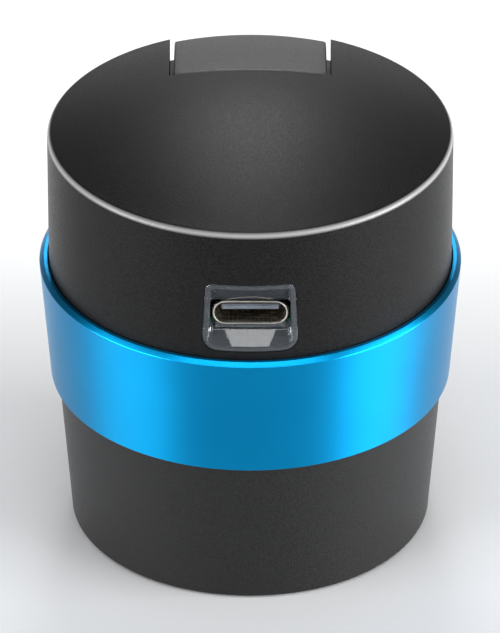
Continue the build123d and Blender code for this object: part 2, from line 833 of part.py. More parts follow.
sensor_flex = ribbon(
    [
        (-sensor_connector_place - connector_depth / 2, sensor_board_top + connector_height / 2),
        (-sensor_flex_place, sensor_board_top + connector_height / 2),
        (-sensor_flex_place, board_bottom - connector_height / 2),
        (-main_connector_place - connector_depth / 2, board_bottom - connector_height / 2),
    ],
    flex_bend,
    flex_width,
    flex_thickness,
)
switch_flex = ribbon(
    [
        (switch_connector_place - connector_depth / 2, board_top + connector_height / 2),
        (switch_flex_place, board_top + connector_height / 2),
        (switch_flex_place, switch_board_bottom - flex_thickness / 2),
        (stem_place - switch_side, switch_board_bottom - flex_thickness / 2),
    ],
    switch_flex_bend,
    switch_flex_width,
    flex_thickness,
)

# Shell: the hollow is made first, with the columns, the key's pocket and its bosses left solid
with BuildPart() as shell_hollow:
    with BuildSketch(Plane.XZ):
        with BuildLine():
            Line((0, shell_bottom), (spigot_bore, shell_bottom))
            Line((spigot_bore, shell_bottom), (spigot_bore, spigot_top + seat_gap))
            Line((spigot_bore, spigot_top + seat_gap), (shell_bore, spigot_top + seat_gap))
            Line(
                (shell_bore, spigot_top + seat_gap),
                (shell_bore, dome_height(shell_bore, dome_ball - roof_thickness)),
            )
            ThreePointArc(
                (shell_bore, dome_height(shell_bore, dome_ball - roof_thickness)),
                (shell_bore / 2, dome_height(shell_bore / 2, dome_ball - roof_thickness)),
                (0, crown_height - roof_thickness),
            )
            Line((0, crown_height - roof_thickness), (0, shell_bottom))
        make_face()
    revolve(axis=Axis.Z)
    with BuildSketch(Plane.XY.offset(column_bottom)):
        with PolarLocations(column_circle, column_count, start_angle=column_turn):
            Circle(column_radius)
    extrude(amount=dome_rise + crown_height - column_bottom, mode=Mode.SUBTRACT)
    with Locations((0, pocket_front - pocket_wall, pocket_floor - pocket_floor_wall)):
        Box(
            2 * (pocket_side + pocket_wall),
            shell_radius,
            crown_height,
            align=(Align.CENTER, Align.MIN, Align.MIN),
            mode=Mode.SUBTRACT,
        )
    with Locations((0, stem_place - switch_boss_setback, pocket_floor - pocket_floor_wall)):
        with GridLocations(switch_boss_spacing, 0, 2, 1):
            Cylinder(switch_boss_radius, switch_boss_height, align=down, mode=Mode.SUBTRACT)


def bezel_outline(grow):
    """Rounded outline of the bezel, wider at its foot, grown by a distance."""
    half = bezel_height / 2
    with BuildSketch(Plane.XZ.offset(bezel_back)) as outline:
        with BuildLine():
            Polyline(
                (-bezel_bottom_width / 2, bezel_centre - half),
                (bezel_bottom_width / 2, bezel_centre - half),
                (bezel_top_width / 2, bezel_centre + half),
                (-bezel_top_width / 2, bezel_centre + half),
                close=True,
            )
        make_face()
        fillet(vertices().group_by(Axis.Y)[0], bezel_bottom_corner)
        fillet(vertices().group_by(Axis.Y)[-1], bezel_top_corner)
        if grow:
            offset(amount=grow)
    return outline.sketch


bezel_hole = bezel_outline(bond_gap)
bezel_face = bezel_outline(0)
bezel_mouth = bezel_outline(-bezel_rim)

with BuildPart() as outer_shell:
    with BuildSketch(Plane.XZ):
        with BuildLine():
            Line((0, shell_bottom), (shell_radius, shell_bottom))
            Line((shell_radius, shell_bottom), (shell_radius, rim_height))
            ThreePointArc(
                (shell_radius, rim_height),
                (shell_radius / 2, dome_height(shell_radius / 2)),
                (0, crown_height),
            )
            Line((0, crown_height), (0, shell_bottom))
        make_face()
    revolve(axis=Axis.Z)
    rim_edge = edges().filter_by(GeomType.CIRCLE).filter_by_position(
        Axis.Z, rim_height - seat_gap, rim_height + seat_gap
    )
    fillet(rim_edge, rim_fillet)
    chamfer(edges().filter_by(GeomType.CIRCLE).group_by(Axis.Z)[0], shell_edge_chamfer)
    add(shell_hollow.part, mode=Mode.SUBTRACT)
    with Locations((0, pocket_front, pocket_floor)):
        Box(
            2 * pocket_side,
            shell_radius,
            crown_height - pocket_floor,
            align=(Align.CENTER, Align.MIN, Align.MIN),
            mode=Mode.SUBTRACT,
        )
    extrude(bezel_hole, amount=2 * bezel_depth, mode=Mode.SUBTRACT)
    with Locations((0, stem_place, pocket_floor)):
        Hole(stem_hole, depth=pocket_floor_wall)
    with Locations((0, 0, column_bottom)):
        with PolarLocations(column_circle, column_count, start_angle=column_turn):
            Cylinder(
                main_screw_radius + thread_gap,
                main_screw_grip + thread_gap,
                align=up,
                mode=Mode.SUBTRACT,
            )
    with Locations(
        (0, stem_place - switch_boss_setback, pocket_floor - pocket_floor_wall - switch_boss_height)
    ):
        with GridLocations(switch_boss_spacing, 0, 2, 1):
            Cylinder(
                small_screw_radius + thread_gap,
                small_screw_grip + thread_gap,
                align=up,
                mode=Mode.SUBTRACT,
            )
    with BuildSketch(Plane.YZ):
        with Locations((pin_place, pin_height)):
            Circle(knuckle_radius)
            Rectangle(
                2 * knuckle_radius,
                pin_height - pocket_floor,
                align=(Align.CENTER, Align.MAX),
            )
    extrude(amount=lug_outside, both=True)
    with BuildSketch(Plane.YZ):
        with Locations((pin_place, pocket_floor)):
            Rectangle(
                2 * knuckle_radius + seat_gap,
                2 * (pin_height - pocket_floor),
                align=(Align.CENTER, Align.MIN),
            )
    extrude(amount=knuckle_width / 2 + lug_gap, both=True, mode=Mode.SUBTRACT)
    with BuildSketch(Plane.YZ):
        with Locations((pin_place, pin_height)):
            Circle(pin_radius + bond_gap)
    extrude(amount=lug_outside, both=True, mode=Mode.SUBTRACT)

case_screw = screw(
    main_screw_radius,
    column_bottom - screw_seat + main_screw_grip,
    main_screw_head,
    main_screw_head_height,
)
with BuildPart() as case_screws:
    for turn in range(column_count):
        angle = math.radians(column_turn + 360 / column_count * turn)
        place = (column_circle * math.cos(angle), column_circle * math.sin(angle), screw_seat)
        with Locations(Plane(origin=place, z_dir=(0, 0, -1))):
            add(case_screw)

# Bezel: flush with the shell, with a pocket that narrows to the mouth round the port
with BuildPart() as port_bezel:
    extrude(bezel_face, amount=2 * bezel_depth)
    with Locations((0, 0, shell_bottom)):
        Cylinder(shell_radius, rim_height - shell_bottom, align=up, mode=Mode.INTERSECT)
    with BuildSketch(Plane.XZ.offset(shell_radius - pocket_depth)):
        with Locations((0, port_height)):
            RectangleRounded(mouth_width, mouth_height, mouth_corner)
    add(bezel_mouth.moved(Location((0, bezel_back - shell_radius, 0))))
    loft(mode=Mode.SUBTRACT)
    with BuildSketch(Plane.XZ.offset(bezel_back)):
        with Locations((0, port_height)):
            RectangleRounded(mouth_width, mouth_height, mouth_corner)
    extrude(amount=bezel_depth - pocket_depth, mode=Mode.SUBTRACT)

# Charging port: folded metal shell, moulded insulator with its tongue, and the contacts
with BuildPart() as usb_shell:
    with BuildSketch(Plane.XZ.offset(usb_front)):
        with Locations((0, port_height)):
            RectangleRounded(usb_width, usb_height, usb_corner)
            RectangleRounded(
                usb_width - 2 * usb_wall,
                usb_height - 2 * usb_wall,
                usb_corner - usb_wall,
                mode=Mode.SUBTRACT,
            )
    extrude(amount=-usb_length)

with BuildPart() as usb_insulator:
    with BuildSketch(Plane.XZ.offset(usb_front - usb_length)):
        with Locations((0, port_height)):
            RectangleRounded(
                usb_width - 2 * usb_wall - 2 * bond_gap,
                usb_height - 2 * usb_wall - 2 * bond_gap,
                usb_corner - usb_wall - bond_gap,
            )
    extrude(amount=insulator_depth)
    with BuildSketch(Plane.XZ.offset(usb_front - usb_length)):
        with Locations((0, port_height)):
            Rectangle(tongue_width, tongue_thickness)
    extrude(amount=insulator_depth + tongue_length)

with BuildPart() as usb_contacts:
    for side, seat in ((1, Align.MIN), (-1, Align.MAX)):
        with Locations((0, contact_setback - tongue_front, port_height + side * tongue_thickness / 2)):
            with GridLocations(contact_pitch, 0, contact_count, 1):
                Box(
                    contact_pad,
                    contact_length,
                    contact_thickness,
                    align=(Align.CENTER, Align.MIN, seat),
                )

# Thumb key: a slice of a slightly steeper dome, hollow, with its knuckle and its stem
with BuildPart() as key_hollow:
    with Locations((0, 0, stem_bottom)):
        Cylinder(shell_radius - key_rear_inset - key_wall, crown_height - stem_bottom, align=up)
    with Locations((0, key_ball_place, key_ball_height)):
        Sphere(dome_ball - key_roof, mode=Mode.INTERSECT)
    with Locations((0, 0, stem_bottom)):
        Box(
            key_width - 2 * key_wall,
            2 * shell_radius,
            crown_height - stem_bottom,
            align=up,
            mode=Mode.INTERSECT,
        )

with BuildPart() as thumb_key:
    with Locations((0, 0, key_skirt)):
        Cylinder(shell_radius - key_rear_inset, crown_height - key_skirt, align=up)
    with Locations((0, key_ball_place, key_ball_height)):
        Sphere(dome_ball, mode=Mode.INTERSECT)
    with Locations((0, key_front, key_skirt)):
        Box(
            key_width,
            shell_radius,
            crown_height - key_skirt,
            align=(Align.CENTER, Align.MIN, Align.MIN),
            mode=Mode.INTERSECT,
        )
    upper_edges = edges().filter_by_position(Axis.Z, key_skirt + seat_gap, crown_height)
    rear_edge = upper_edges.sort_by(Axis.Y)[-1]
    fillet(rear_edge, key_edge_fillet)
    add(key_hollow.part, mode=Mode.SUBTRACT)
    with BuildSketch(Plane.YZ):
        with Locations((pin_place, pin_height)):
            Circle(knuckle_radius)
            Rectangle(
                2 * knuckle_radius,
                hinge_drop + key_roof / 2,
                align=(Align.CENTER, Align.MIN),
            )
            Circle(pin_radius + hinge_gap, mode=Mode.SUBTRACT)
    extrude(amount=knuckle_width / 2, both=True)
    with Locations((0, stem_place, stem_bottom)):
        Cylinder(stem_radius, key_height(stem_place) - key_roof / 2 - stem_bottom, align=up)
    with Locations((0, stem_place, spring_top + seat_gap)):
        Cylinder(spring_boss, key_height(stem_place) - key_roof / 2 - spring_top - seat_gap, align=up)

with BuildPart() as key_pin:
    with BuildSketch(Plane.YZ):
        with Locations((pin_place, pin_height)):
            Circle(pin_radius)
    extrude(amount=lug_outside, both=True)


def coil_point(turns):
    """Point of the spring's middle line after a number of turns."""
    angle = 2 * math.pi * turns
    climb = spring_top - pocket_floor - seat_gap - spring_wire
    return Vector(
        spring_radius * math.cos(angle),
        stem_place + spring_radius * math.sin(angle),
        pocket_floor + seat_gap + spring_wire / 2 + climb * turns / spring_turns,
    )


def coil_direction(turns):
    """Direction of the spring's middle line after a number of turns."""
    angle = 2 * math.pi * turns
    climb = (spring_top - pocket_floor - seat_gap - spring_wire) / spring_turns
    lead = climb / (2 * math.pi * spring_radius)
    return Vector(-math.sin(angle), math.cos(angle), lead).normalized()


def coil_arcs(start_turn, end_turn):
    """Two arcs that join tangentially between two places on the spring."""
    start, end = coil_point(start_turn), coil_point(end_turn)
    first, last = coil_direction(start_turn), coil_direction(end_turn)
    chord = end - start
    along = chord.dot(first + last)
    spread = 2 * (1 - first.dot(last))
    reach = (math.sqrt(along**2 + spread * chord.dot(chord)) - along) / spread
    before, after = start + first * reach, end - last * reach
    middle = (before + after) / 2
    TangentArc(start, middle, tangent=first)
    TangentArc(middle, end, tangent=after - before)


# Key spring: one wire wound round the stem
with BuildPart() as key_spring:
    with BuildLine() as coil:
        for arc in range(round(arcs_per_turn * spring_turns)):
            coil_arcs(arc / arcs_per_turn, (arc + 1) / arcs_per_turn)
    with BuildSketch(Plane(origin=coil.line @ 0, z_dir=coil.line % 0)):
        Circle(spring_wire / 2)
    sweep(path=coil.line)

coil_points = [
    coil_point(step / spring_steps) for step in range(round(spring_steps * spring_turns) + 1)
]
coil_gap = min(
    (here - there).length - spring_wire
    for step, here in enumerate(coil_points)
    for there in coil_points[step + spring_steps // 2 :]
)
print("least gap between the spring's turns:", round(coil_gap, 3))

# Switch under the pocket's floor, on its own small board
with BuildPart() as switch_board:
    with Locations((0, stem_place - switch_board_setback, switch_board_bottom)):
        Box(switch_board_width, switch_board_depth, switch_board_thickness, align=up)
    with Locations((0, stem_place - switch_boss_setback, switch_board_top)):
        with GridLocations(switch_boss_spacing, 0, 2, 1):
            Hole(small_screw_radius + thread_gap, depth=switch_board_thickness)

switch_screw = screw(
    small_screw_radius,
    switch_board_thickness + 2 * seat_gap + small_screw_grip,
    small_screw_head,
    small_screw_head_height,
)
with BuildPart() as switch_screws:
    for side in (-1, 1):
        place = (
            side * switch_boss_spacing / 2,
            stem_place - switch_boss_setback,
            switch_board_bottom - seat_gap,
        )
        with Locations(Plane(origin=place, z_dir=(0, 0, -1))):
            add(switch_screw)

with BuildPart() as switch_body:
    with Locations((0, stem_place, switch_board_top)):
        Box(switch_side, switch_side, switch_height, align=up)
    with Locations((0, stem_place, plunger_bottom - plunger_travel - plunger_room)):
        Cylinder(plunger_radius + plunger_gap, switch_height, align=up, mode=Mode.SUBTRACT)

with BuildPart() as switch_cover_plate:
    with Locations((0, stem_place, switch_board_top + switch_height)):
        Box(switch_side, switch_side, switch_cover, align=up)
        Cylinder(plunger_radius + plunger_gap, switch_cover, align=up, mode=Mode.SUBTRACT)

with BuildPart() as switch_plunger:
    with Locations((0, stem_place, plunger_bottom)):
        Cylinder(plunger_radius, plunger_height, align=up)
    fillet(edges().group_by(Axis.Z)[-1], plunger_fillet)

pieces = {
    "cup_shell": cup_shell.part,
    "foot_pad": foot_pad.part,
    "grip_ring": grip_ring.part,
    "tile_cushion": tile_cushion.part,
    "calibration_tile": calibration_tile.part,
    "tile_holder": tile_holder.part,
    "holder_screws": holder_screws.part,
    "cup_magnets": cup_magnets.part,
    "nose_housing": nose_housing.part,
    "contact_ring": contact_ring.part,
    "nose_magnets": nose_magnets.part,
    "spigot_seal": spigot_seal.part,
    "window_gasket": window_gasket.part,
    "aperture_window": aperture_window.part,
    "optics_block": optics_block.part,
    "eye_lens": eye_lens.part,
    "lens_ring": lens_ring.part,
    "sensor_board": sensor_board.part,
    "colour_sensor": colour_sensor.part,
    "sample_lamps": sample_lamps.part,
    "sensor_screws": sensor_screws.part,
    "battery_carrier": battery_carrier.part,
    "battery_cell": battery_cell.part,
    "cell_pad": cell_pad.part,
    "cell_tabs": cell_tabs.part,
    "main_board": main_board.part,
    "board_screws": board_screws.part,
    "processor_can": processor_can.part,
    "charger_chip": charger_chip.part,
    "radio_antenna": radio_antenna.part,
    "status_lamps": status_lamps.part,
    "ribbon_connectors": ribbon_connectors.part,
    "sensor_flex": sensor_flex,
    "switch_flex": switch_flex,
    "outer_shell": outer_shell.part,
    "case_screws": case_screws.part,
    "port_bezel": port_bezel.part,
    "usb_shell": usb_shell.part,
    "usb_insulator": usb_insulator.part,
    "usb_contacts": usb_contacts.part,
    "thumb_key": thumb_key.part,
    "key_pin": key_pin.part,
    "key_spring": key_spring.part,
    "switch_board": switch_board.part,
    "switch_screws": switch_screws.part,
    "switch_body": switch_body.part,
    "switch_cover_plate": switch_cover_plate.part,
    "switch_plunger": switch_plunger.part,
}

os.makedirs("parts", exist_ok=True)
for name, piece in pieces.items():
    piece.label = name
    export_step(piece, f"parts/{name}.step")
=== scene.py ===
"""Finishes, refined pieces, camera and light for a colour meter that stands in its cup.

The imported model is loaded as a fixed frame. Pieces whose surface needs a finer form than the
frame holds are modelled again in the same place, and every piece gets a procedural finish.
Lengths are in metres, and +Z is up. The charging port faces -Y.
"""

from __future__ import annotations

import json
import logging
import math
from collections.abc import Callable, Sequence
from dataclasses import dataclass
from enum import Enum
from typing import ClassVar

import bmesh
import bpy
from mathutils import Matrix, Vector

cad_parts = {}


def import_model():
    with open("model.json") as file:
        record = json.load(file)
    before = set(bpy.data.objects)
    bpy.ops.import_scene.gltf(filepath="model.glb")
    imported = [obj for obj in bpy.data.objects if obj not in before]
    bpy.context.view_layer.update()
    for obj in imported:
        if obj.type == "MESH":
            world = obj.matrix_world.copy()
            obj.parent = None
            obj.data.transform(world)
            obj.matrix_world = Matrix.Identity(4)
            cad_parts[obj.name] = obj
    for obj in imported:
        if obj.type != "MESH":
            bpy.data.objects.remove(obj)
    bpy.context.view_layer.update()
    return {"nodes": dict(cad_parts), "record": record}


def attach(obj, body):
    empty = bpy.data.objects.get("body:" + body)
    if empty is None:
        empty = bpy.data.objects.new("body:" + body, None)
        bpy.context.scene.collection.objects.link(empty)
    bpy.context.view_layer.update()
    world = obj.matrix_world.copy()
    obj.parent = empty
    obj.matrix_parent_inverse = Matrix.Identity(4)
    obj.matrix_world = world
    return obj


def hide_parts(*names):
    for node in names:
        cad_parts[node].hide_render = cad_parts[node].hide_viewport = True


MM = 0.001
MERGE_GAP = 0.000001
CLOSING_GAP = 0.0000001
SMOOTH_ANGLE = 28.0
NOISE_SPAN = (0.3, 0.7)
log = logging.getLogger("colour_meter")


class Body(Enum):
    """The bodies that pieces ride on."""

    CUP = "cup"
    INSTRUMENT = "instrument"
    KEY = "key"


# A linear colour, values along X, Y and Z, a pair of values, a point of an outline, and a corner
# of an outline with its radius (or a rounded rectangle's width, height and corner radius).
Color = tuple[float, float, float]
Axes = tuple[float, float, float]
Span = tuple[float, float]
Point = tuple[float, float]
Corner = tuple[float, float, float]


def from_screen(red: int, green: int, blue: int) -> Color:
    """Turns a colour as a screen shows it into the linear values that a shader takes.

    Args:
        red: Red level from 0 to 255.
        green: Green level from 0 to 255.
        blue: Blue level from 0 to 255.

    Returns:
        The linear colour.
    """

    def linear(level: int) -> float:
        """Linear value of one level."""
        share = level / 255
        return share / 12.92 if share <= 0.04045 else ((share + 0.055) / 1.055) ** 2.4

    return linear(red), linear(green), linear(blue)


class NodeTree:
    """A material's node tree, with short calls to add and link nodes."""

    def __init__(self, name: str) -> None:
        """Starts a material that holds one principled shader.

        Args:
            name: The material's name.
        """
        self.material = bpy.data.materials.new(name)
        self.material.use_nodes = True
        self.nodes = self.material.node_tree.nodes
        self.links = self.material.node_tree.links
        self.shader = self.nodes["Principled BSDF"]
        self.place = self.add("ShaderNodeTexCoord").outputs["Object"]

    def add(self, kind: str, **values: object) -> bpy.types.Node:
        """Adds a node and sets its properties or its inputs by name.

        Args:
            kind: Blender's name of the node.
            **values: Properties, or inputs written with underscores.

        Returns:
            The new node.
        """
        node = self.nodes.new(kind)
        for name, value in values.items():
            label = name.replace("_", " ")
            if label in node.inputs:
                node.inputs[label].default_value = value
            else:
                setattr(node, name, value)
        return node

    def join(self, source: bpy.types.NodeSocket, target: bpy.types.NodeSocket) -> None:
        """Links an output to an input."""
        self.links.new(source, target)

    def stretched(self, scale: Axes) -> bpy.types.NodeSocket:
        """Object coordinates in metres, scaled along each axis."""
        mapping = self.add("ShaderNodeMapping", Scale=scale)
        self.join(self.place, mapping.inputs["Vector"])
        return mapping.outputs["Vector"]

    def noise(
        self, scale: float, detail: float = 3.0, place: bpy.types.NodeSocket | None = None
    ) -> bpy.types.NodeSocket:
        """Noise over the piece.

        Args:
            scale: Spots per metre.
            detail: Octaves of the noise.
            place: Coordinates to read, or None for plain object coordinates.

        Returns:
            The noise's factor, around 0.5.
        """
        noise = self.add("ShaderNodeTexNoise", Scale=scale, Detail=detail)
        self.join(place or self.place, noise.inputs["Vector"])
        return noise.outputs["Fac"]

    def spread(
        self, source: bpy.types.NodeSocket, low: float, high: float
    ) -> bpy.types.NodeSocket:
        """Turns noise around 0.5 into values between two limits.

        Args:
            source: The noise.
            low: Value where the noise is weak.
            high: Value where it is strong.

        Returns:
            The limited values.
        """
        weak, strong = NOISE_SPAN
        limits = self.add("ShaderNodeMapRange", From_Min=weak, From_Max=strong)
        limits.inputs["To Min"].default_value = low
        limits.inputs["To Max"].default_value = high
        self.join(source, limits.inputs["Value"])
        return limits.outputs["Result"]

    def blend(
        self, factor: bpy.types.NodeSocket, first: Color | bpy.types.NodeSocket, second: Color
    ) -> bpy.types.NodeSocket:
        """Mixes two colours.

        Args:
            factor: Share of the second colour, from 0 to 1.
            first: A plain colour, or a socket whose colour varies.
            second: A plain colour.

        Returns:
            The mixed colour.
        """
        mix = self.add("ShaderNodeMix", data_type="RGBA")
        self.join(factor, mix.inputs["Factor"])
        start, end = (socket for socket in mix.inputs if socket.type == "RGBA")
        if isinstance(first, bpy.types.NodeSocket):
            self.join(first, start)
        else:
            start.default_value = (*first, 1)
        end.default_value = (*second, 1)
        return next(out for out in mix.outputs if out.type == "RGBA")

    def fade(
        self, factor: bpy.types.NodeSocket, first: bpy.types.NodeSocket, second: float
    ) -> bpy.types.NodeSocket:
        """Fades from a number that varies to a plain one by a factor from 0 to 1."""
        mix = self.add("ShaderNodeMix", data_type="FLOAT")
        # Inputs 0, 2 and 3 are the factor and the two plain numbers.
        self.join(factor, mix.inputs[0])
        self.join(first, mix.inputs[2])
        mix.inputs[3].default_value = second
        return mix.outputs[0]

    def mottle(self, scale: float, first: Color, second: Color) -> None:
        """Lets the base colour vary between two colours.

        Args:
            scale: Spots per metre.
            first: Colour where the noise is weak.
            second: Colour where it is strong.
        """
        spots = self.spread(self.noise(scale), 0.0, 1.0)
        self.join(self.blend(spots, first, second), self.shader.inputs["Base Color"])

    def roughen(self, pattern: bpy.types.NodeSocket, low: float, high: float) -> None:
        """Lets the roughness follow a pattern between two limits."""
        self.join(self.spread(pattern, low, high), self.shader.inputs["Roughness"])

    def bump(self, height: bpy.types.NodeSocket, strength: float, depth: float) -> None:
        """Bumps the surface.

        Args:
            height: The height pattern, from 0 to 1.
            strength: Share of the bump that is used.
            depth: Height of the bumps in metres.
        """
        node = self.add("ShaderNodeBump", Strength=strength, Distance=depth)
        self.join(height, node.inputs["Height"])
        self.join(node.outputs["Normal"], self.shader.inputs["Normal"])

    def set(self, **values: object) -> None:
        """Sets constant inputs of the shader, named with underscores for spaces."""
        for name, value in values.items():
            self.shader.inputs[name.replace("_", " ")].default_value = value


@dataclass(frozen=True)
class MouldedPolymer:
    """Moulded plastic or rubber with a fine eroded grain, and a painted highlight along an edge
    if asked.

    The rim is the height and the radius, in metres, from which the painted highlight along the
    edge begins.
    """

    name: str
    color: Color
    rough: float = 0.5
    rough_spread: float = 0.1
    rough_per_metre: float = 6500.0
    grain_per_metre: float = 5500.0
    grain_depth: float = 0.00003
    grain_strength: float = 0.6
    fleck: float = 0.15
    specular: float = 0.5
    coat: float = 0.0
    coat_rough: float = 0.15
    rim: Span | None = None
    rim_fades: Span = (0.0004, 0.00035)
    # Lighter colour painted along the rim as a highlight, and the lower roughness of that band.
    painted_highlight: Color = (0.2, 0.2, 0.197)
    highlight_rough: float = 0.26

    def build(self) -> bpy.types.Material:
        """Builds the material."""
        tree = NodeTree(self.name)
        darker = tuple(level * (1 - self.fleck) for level in self.color)
        lighter = tuple(min(1.0, level * (1 + self.fleck)) for level in self.color)
        grain = tree.noise(self.grain_per_metre, 2.0)
        color = tree.blend(tree.spread(grain, 0.0, 1.0), darker, lighter)
        low, high = self.rough - self.rough_spread, self.rough + self.rough_spread
        rough = tree.spread(tree.noise(self.rough_per_metre), low, high)
        if self.rim:
            # Painted highlight: the rim band gets a lighter base colour in place of a lamp's
            # reflection, and a lower roughness.
            painted_band = self.highlight_mask(tree, *self.rim)
            color = tree.blend(painted_band, color, self.painted_highlight)
            rough = tree.fade(painted_band, rough, self.highlight_rough)
        tree.join(color, tree.shader.inputs["Base Color"])
        tree.join(rough, tree.shader.inputs["Roughness"])
        tree.bump(grain, self.grain_strength, self.grain_depth)
        tree.set(
            Specular_IOR_Level=self.specular,
            Coat_Weight=self.coat,
            Coat_Roughness=self.coat_rough,
        )
        return tree.material

    def highlight_mask(self, tree: NodeTree, low: float, radius: float) -> bpy.types.NodeSocket:
        """Marks the edge between the wall and the dome, where a highlight is painted.

        Args:
            tree: The material's nodes.
            low: Height in metres above which the mark lies.
            radius: Radius in metres outside of which it lies.

        Returns:
            The mask, from 0 to 1.
        """
        fade_up, fade_out = self.rim_fades
        parts = tree.add("ShaderNodeSeparateXYZ")
        tree.join(tree.place, parts.inputs["Vector"])
        flat = tree.add("ShaderNodeVectorMath", operation="MULTIPLY")
        flat.inputs[1].default_value = (1, 1, 0)
        tree.join(tree.place, flat.inputs[0])
        length = tree.add("ShaderNodeVectorMath", operation="LENGTH")
        tree.join(flat.outputs[0], length.inputs[0])
        outside = tree.add("ShaderNodeMapRange", From_Min=radius, From_Max=radius + fade_out)
        tree.join(length.outputs["Value"], outside.inputs["Value"])
        above = tree.add("ShaderNodeMapRange", From_Min=low, From_Max=low + fade_up)
        tree.join(parts.outputs["Z"], above.inputs["Value"])
        both = tree.add("ShaderNodeMath", operation="MULTIPLY")
        tree.join(outside.outputs["Result"], both.inputs[0])
        tree.join(above.outputs["Result"], both.inputs[1])
        return both.outputs[0]


@dataclass(frozen=True)
class AnodisedMetal:
    """Dyed aluminium with fine turning marks round its axis."""

    name: str
    color: Color
    second: Color
    tint_per_metre: float = 90.0
    rough: float = 0.34
    rough_spread: float = 0.01
    rough_per_metre: float = 2500.0
    mark_pitch: float = 0.00012
    marks_round: float = 60.0
    mark_depth: float = 0.0000004
    mark_strength: float = 0.1
    turned: float = 0.75
    turned_rotation: float = 0.25

    def build(self) -> bpy.types.Material:
        """Builds the material."""
        tree = NodeTree(self.name)
        tree.mottle(self.tint_per_metre, self.color, self.second)
        low, high = self.rough - self.rough_spread, self.rough + self.rough_spread
        tree.roughen(tree.noise(self.rough_per_metre), low, high)
        stretch = (self.marks_round, self.marks_round, 1 / self.mark_pitch)
        marks = tree.noise(1.0, 2.0, tree.stretched(stretch))
        tree.bump(marks, self.mark_strength, self.mark_depth)
        round_axis = tree.add("ShaderNodeTangent", direction_type="RADIAL", axis="Z")
        tree.join(round_axis.outputs["Tangent"], tree.shader.inputs["Tangent"])
        tree.set(
            Metallic=1.0, Anisotropic=self.turned, Anisotropic_Rotation=self.turned_rotation
        )
        return tree.material


@dataclass(frozen=True)
class BrightMetal:
    """Bare, plated or drawn metal with faint scratches along one axis."""

    name: str
    color: Color
    rough: float = 0.25
    polished: float = 0.08
    scuffed: float = 0.1
    tarnish: float = 0.82
    tarnish_per_metre: float = 500.0
    scratch: Axes = (200.0, 3000.0, 3000.0)
    scratch_depth: float = 0.000001
    scratch_strength: float = 0.4

    def build(self) -> bpy.types.Material:
        """Builds the material."""
        tree = NodeTree(self.name)
        darker = tuple(level * self.tarnish for level in self.color)
        tree.mottle(self.tarnish_per_metre, self.color, darker)
        scratches = tree.noise(1.0, 3.0, tree.stretched(self.scratch))
        tree.roughen(scratches, self.rough - self.polished, self.rough + self.scuffed)
        tree.bump(scratches, self.scratch_strength, self.scratch_depth)
        tree.set(Metallic=1.0)
        return tree.material


@dataclass(frozen=True)
class SmokedPlastic:
    """Clear plastic with a grey tint, polished on its faces."""

    name: str
    tint: Color
    rough: float = 0.06
    clear: float = 0.9
    ior: float = 1.5
    haze_per_metre: float = 900.0
    haze: Span = (0.6, 1.6)
    wave_per_metre: float = 700.0
    wave_depth: float = 0.0000004
    wave_strength: float = 0.1

    def build(self) -> bpy.types.Material:
        """Builds the material."""
        tree = NodeTree(self.name)
        low, high = (self.rough * share for share in self.haze)
        tree.roughen(tree.noise(self.haze_per_metre), low, high)
        tree.bump(tree.noise(self.wave_per_metre, 1.0), self.wave_strength, self.wave_depth)
        tree.set(Base_Color=(*self.tint, 1), Transmission_Weight=self.clear, IOR=self.ior)
        return tree.material


@dataclass(frozen=True)
class BoardLaminate:
    """Circuit board with solder mask over faint copper tracks."""

    name: str
    mask: Color
    copper: Color
    track_pitch: float = 0.0009
    track_share: float = 0.32
    track_height: float = 0.00003
    track_strength: float = 0.4
    rough: float = 0.35

    def build(self) -> bpy.types.Material:
        """Builds the material."""
        tree = NodeTree(self.name)
        cells = tree.add("ShaderNodeTexVoronoi", distance="MANHATTAN", Scale=1 / self.track_pitch)
        tree.join(tree.place, cells.inputs["Vector"])
        track = tree.add("ShaderNodeMath", operation="LESS_THAN")
        track.inputs[1].default_value = self.track_share
        tree.join(cells.outputs["Distance"], track.inputs[0])
        tree.join(
            tree.blend(track.outputs[0], self.mask, self.copper), tree.shader.inputs["Base Color"]
        )
        tree.bump(track.outputs[0], self.track_strength, self.track_height)
        tree.set(Roughness=self.rough)
        return tree.material


@dataclass(frozen=True)
class GlazedCeramic:
    """White reference tile: dense ceramic under a thin clear glaze."""

    name: str
    color: Color
    speck: float = 0.985
    specks_per_metre: float = 1500.0
    wave_per_metre: float = 500.0
    wave_depth: float = 0.000004
    wave_strength: float = 0.3
    rough: float = 0.25
    glaze: float = 0.6
    glaze_rough: float = 0.08

    def build(self) -> bpy.types.Material:
        """Builds the material."""
        tree = NodeTree(self.name)
        tree.mottle(
            self.specks_per_metre, self.color, tuple(level * self.speck for level in self.color)
        )
        tree.bump(tree.noise(self.wave_per_metre, 1.0), self.wave_strength, self.wave_depth)
        tree.set(Roughness=self.rough, Coat_Weight=self.glaze, Coat_Roughness=self.glaze_rough)
        return tree.material


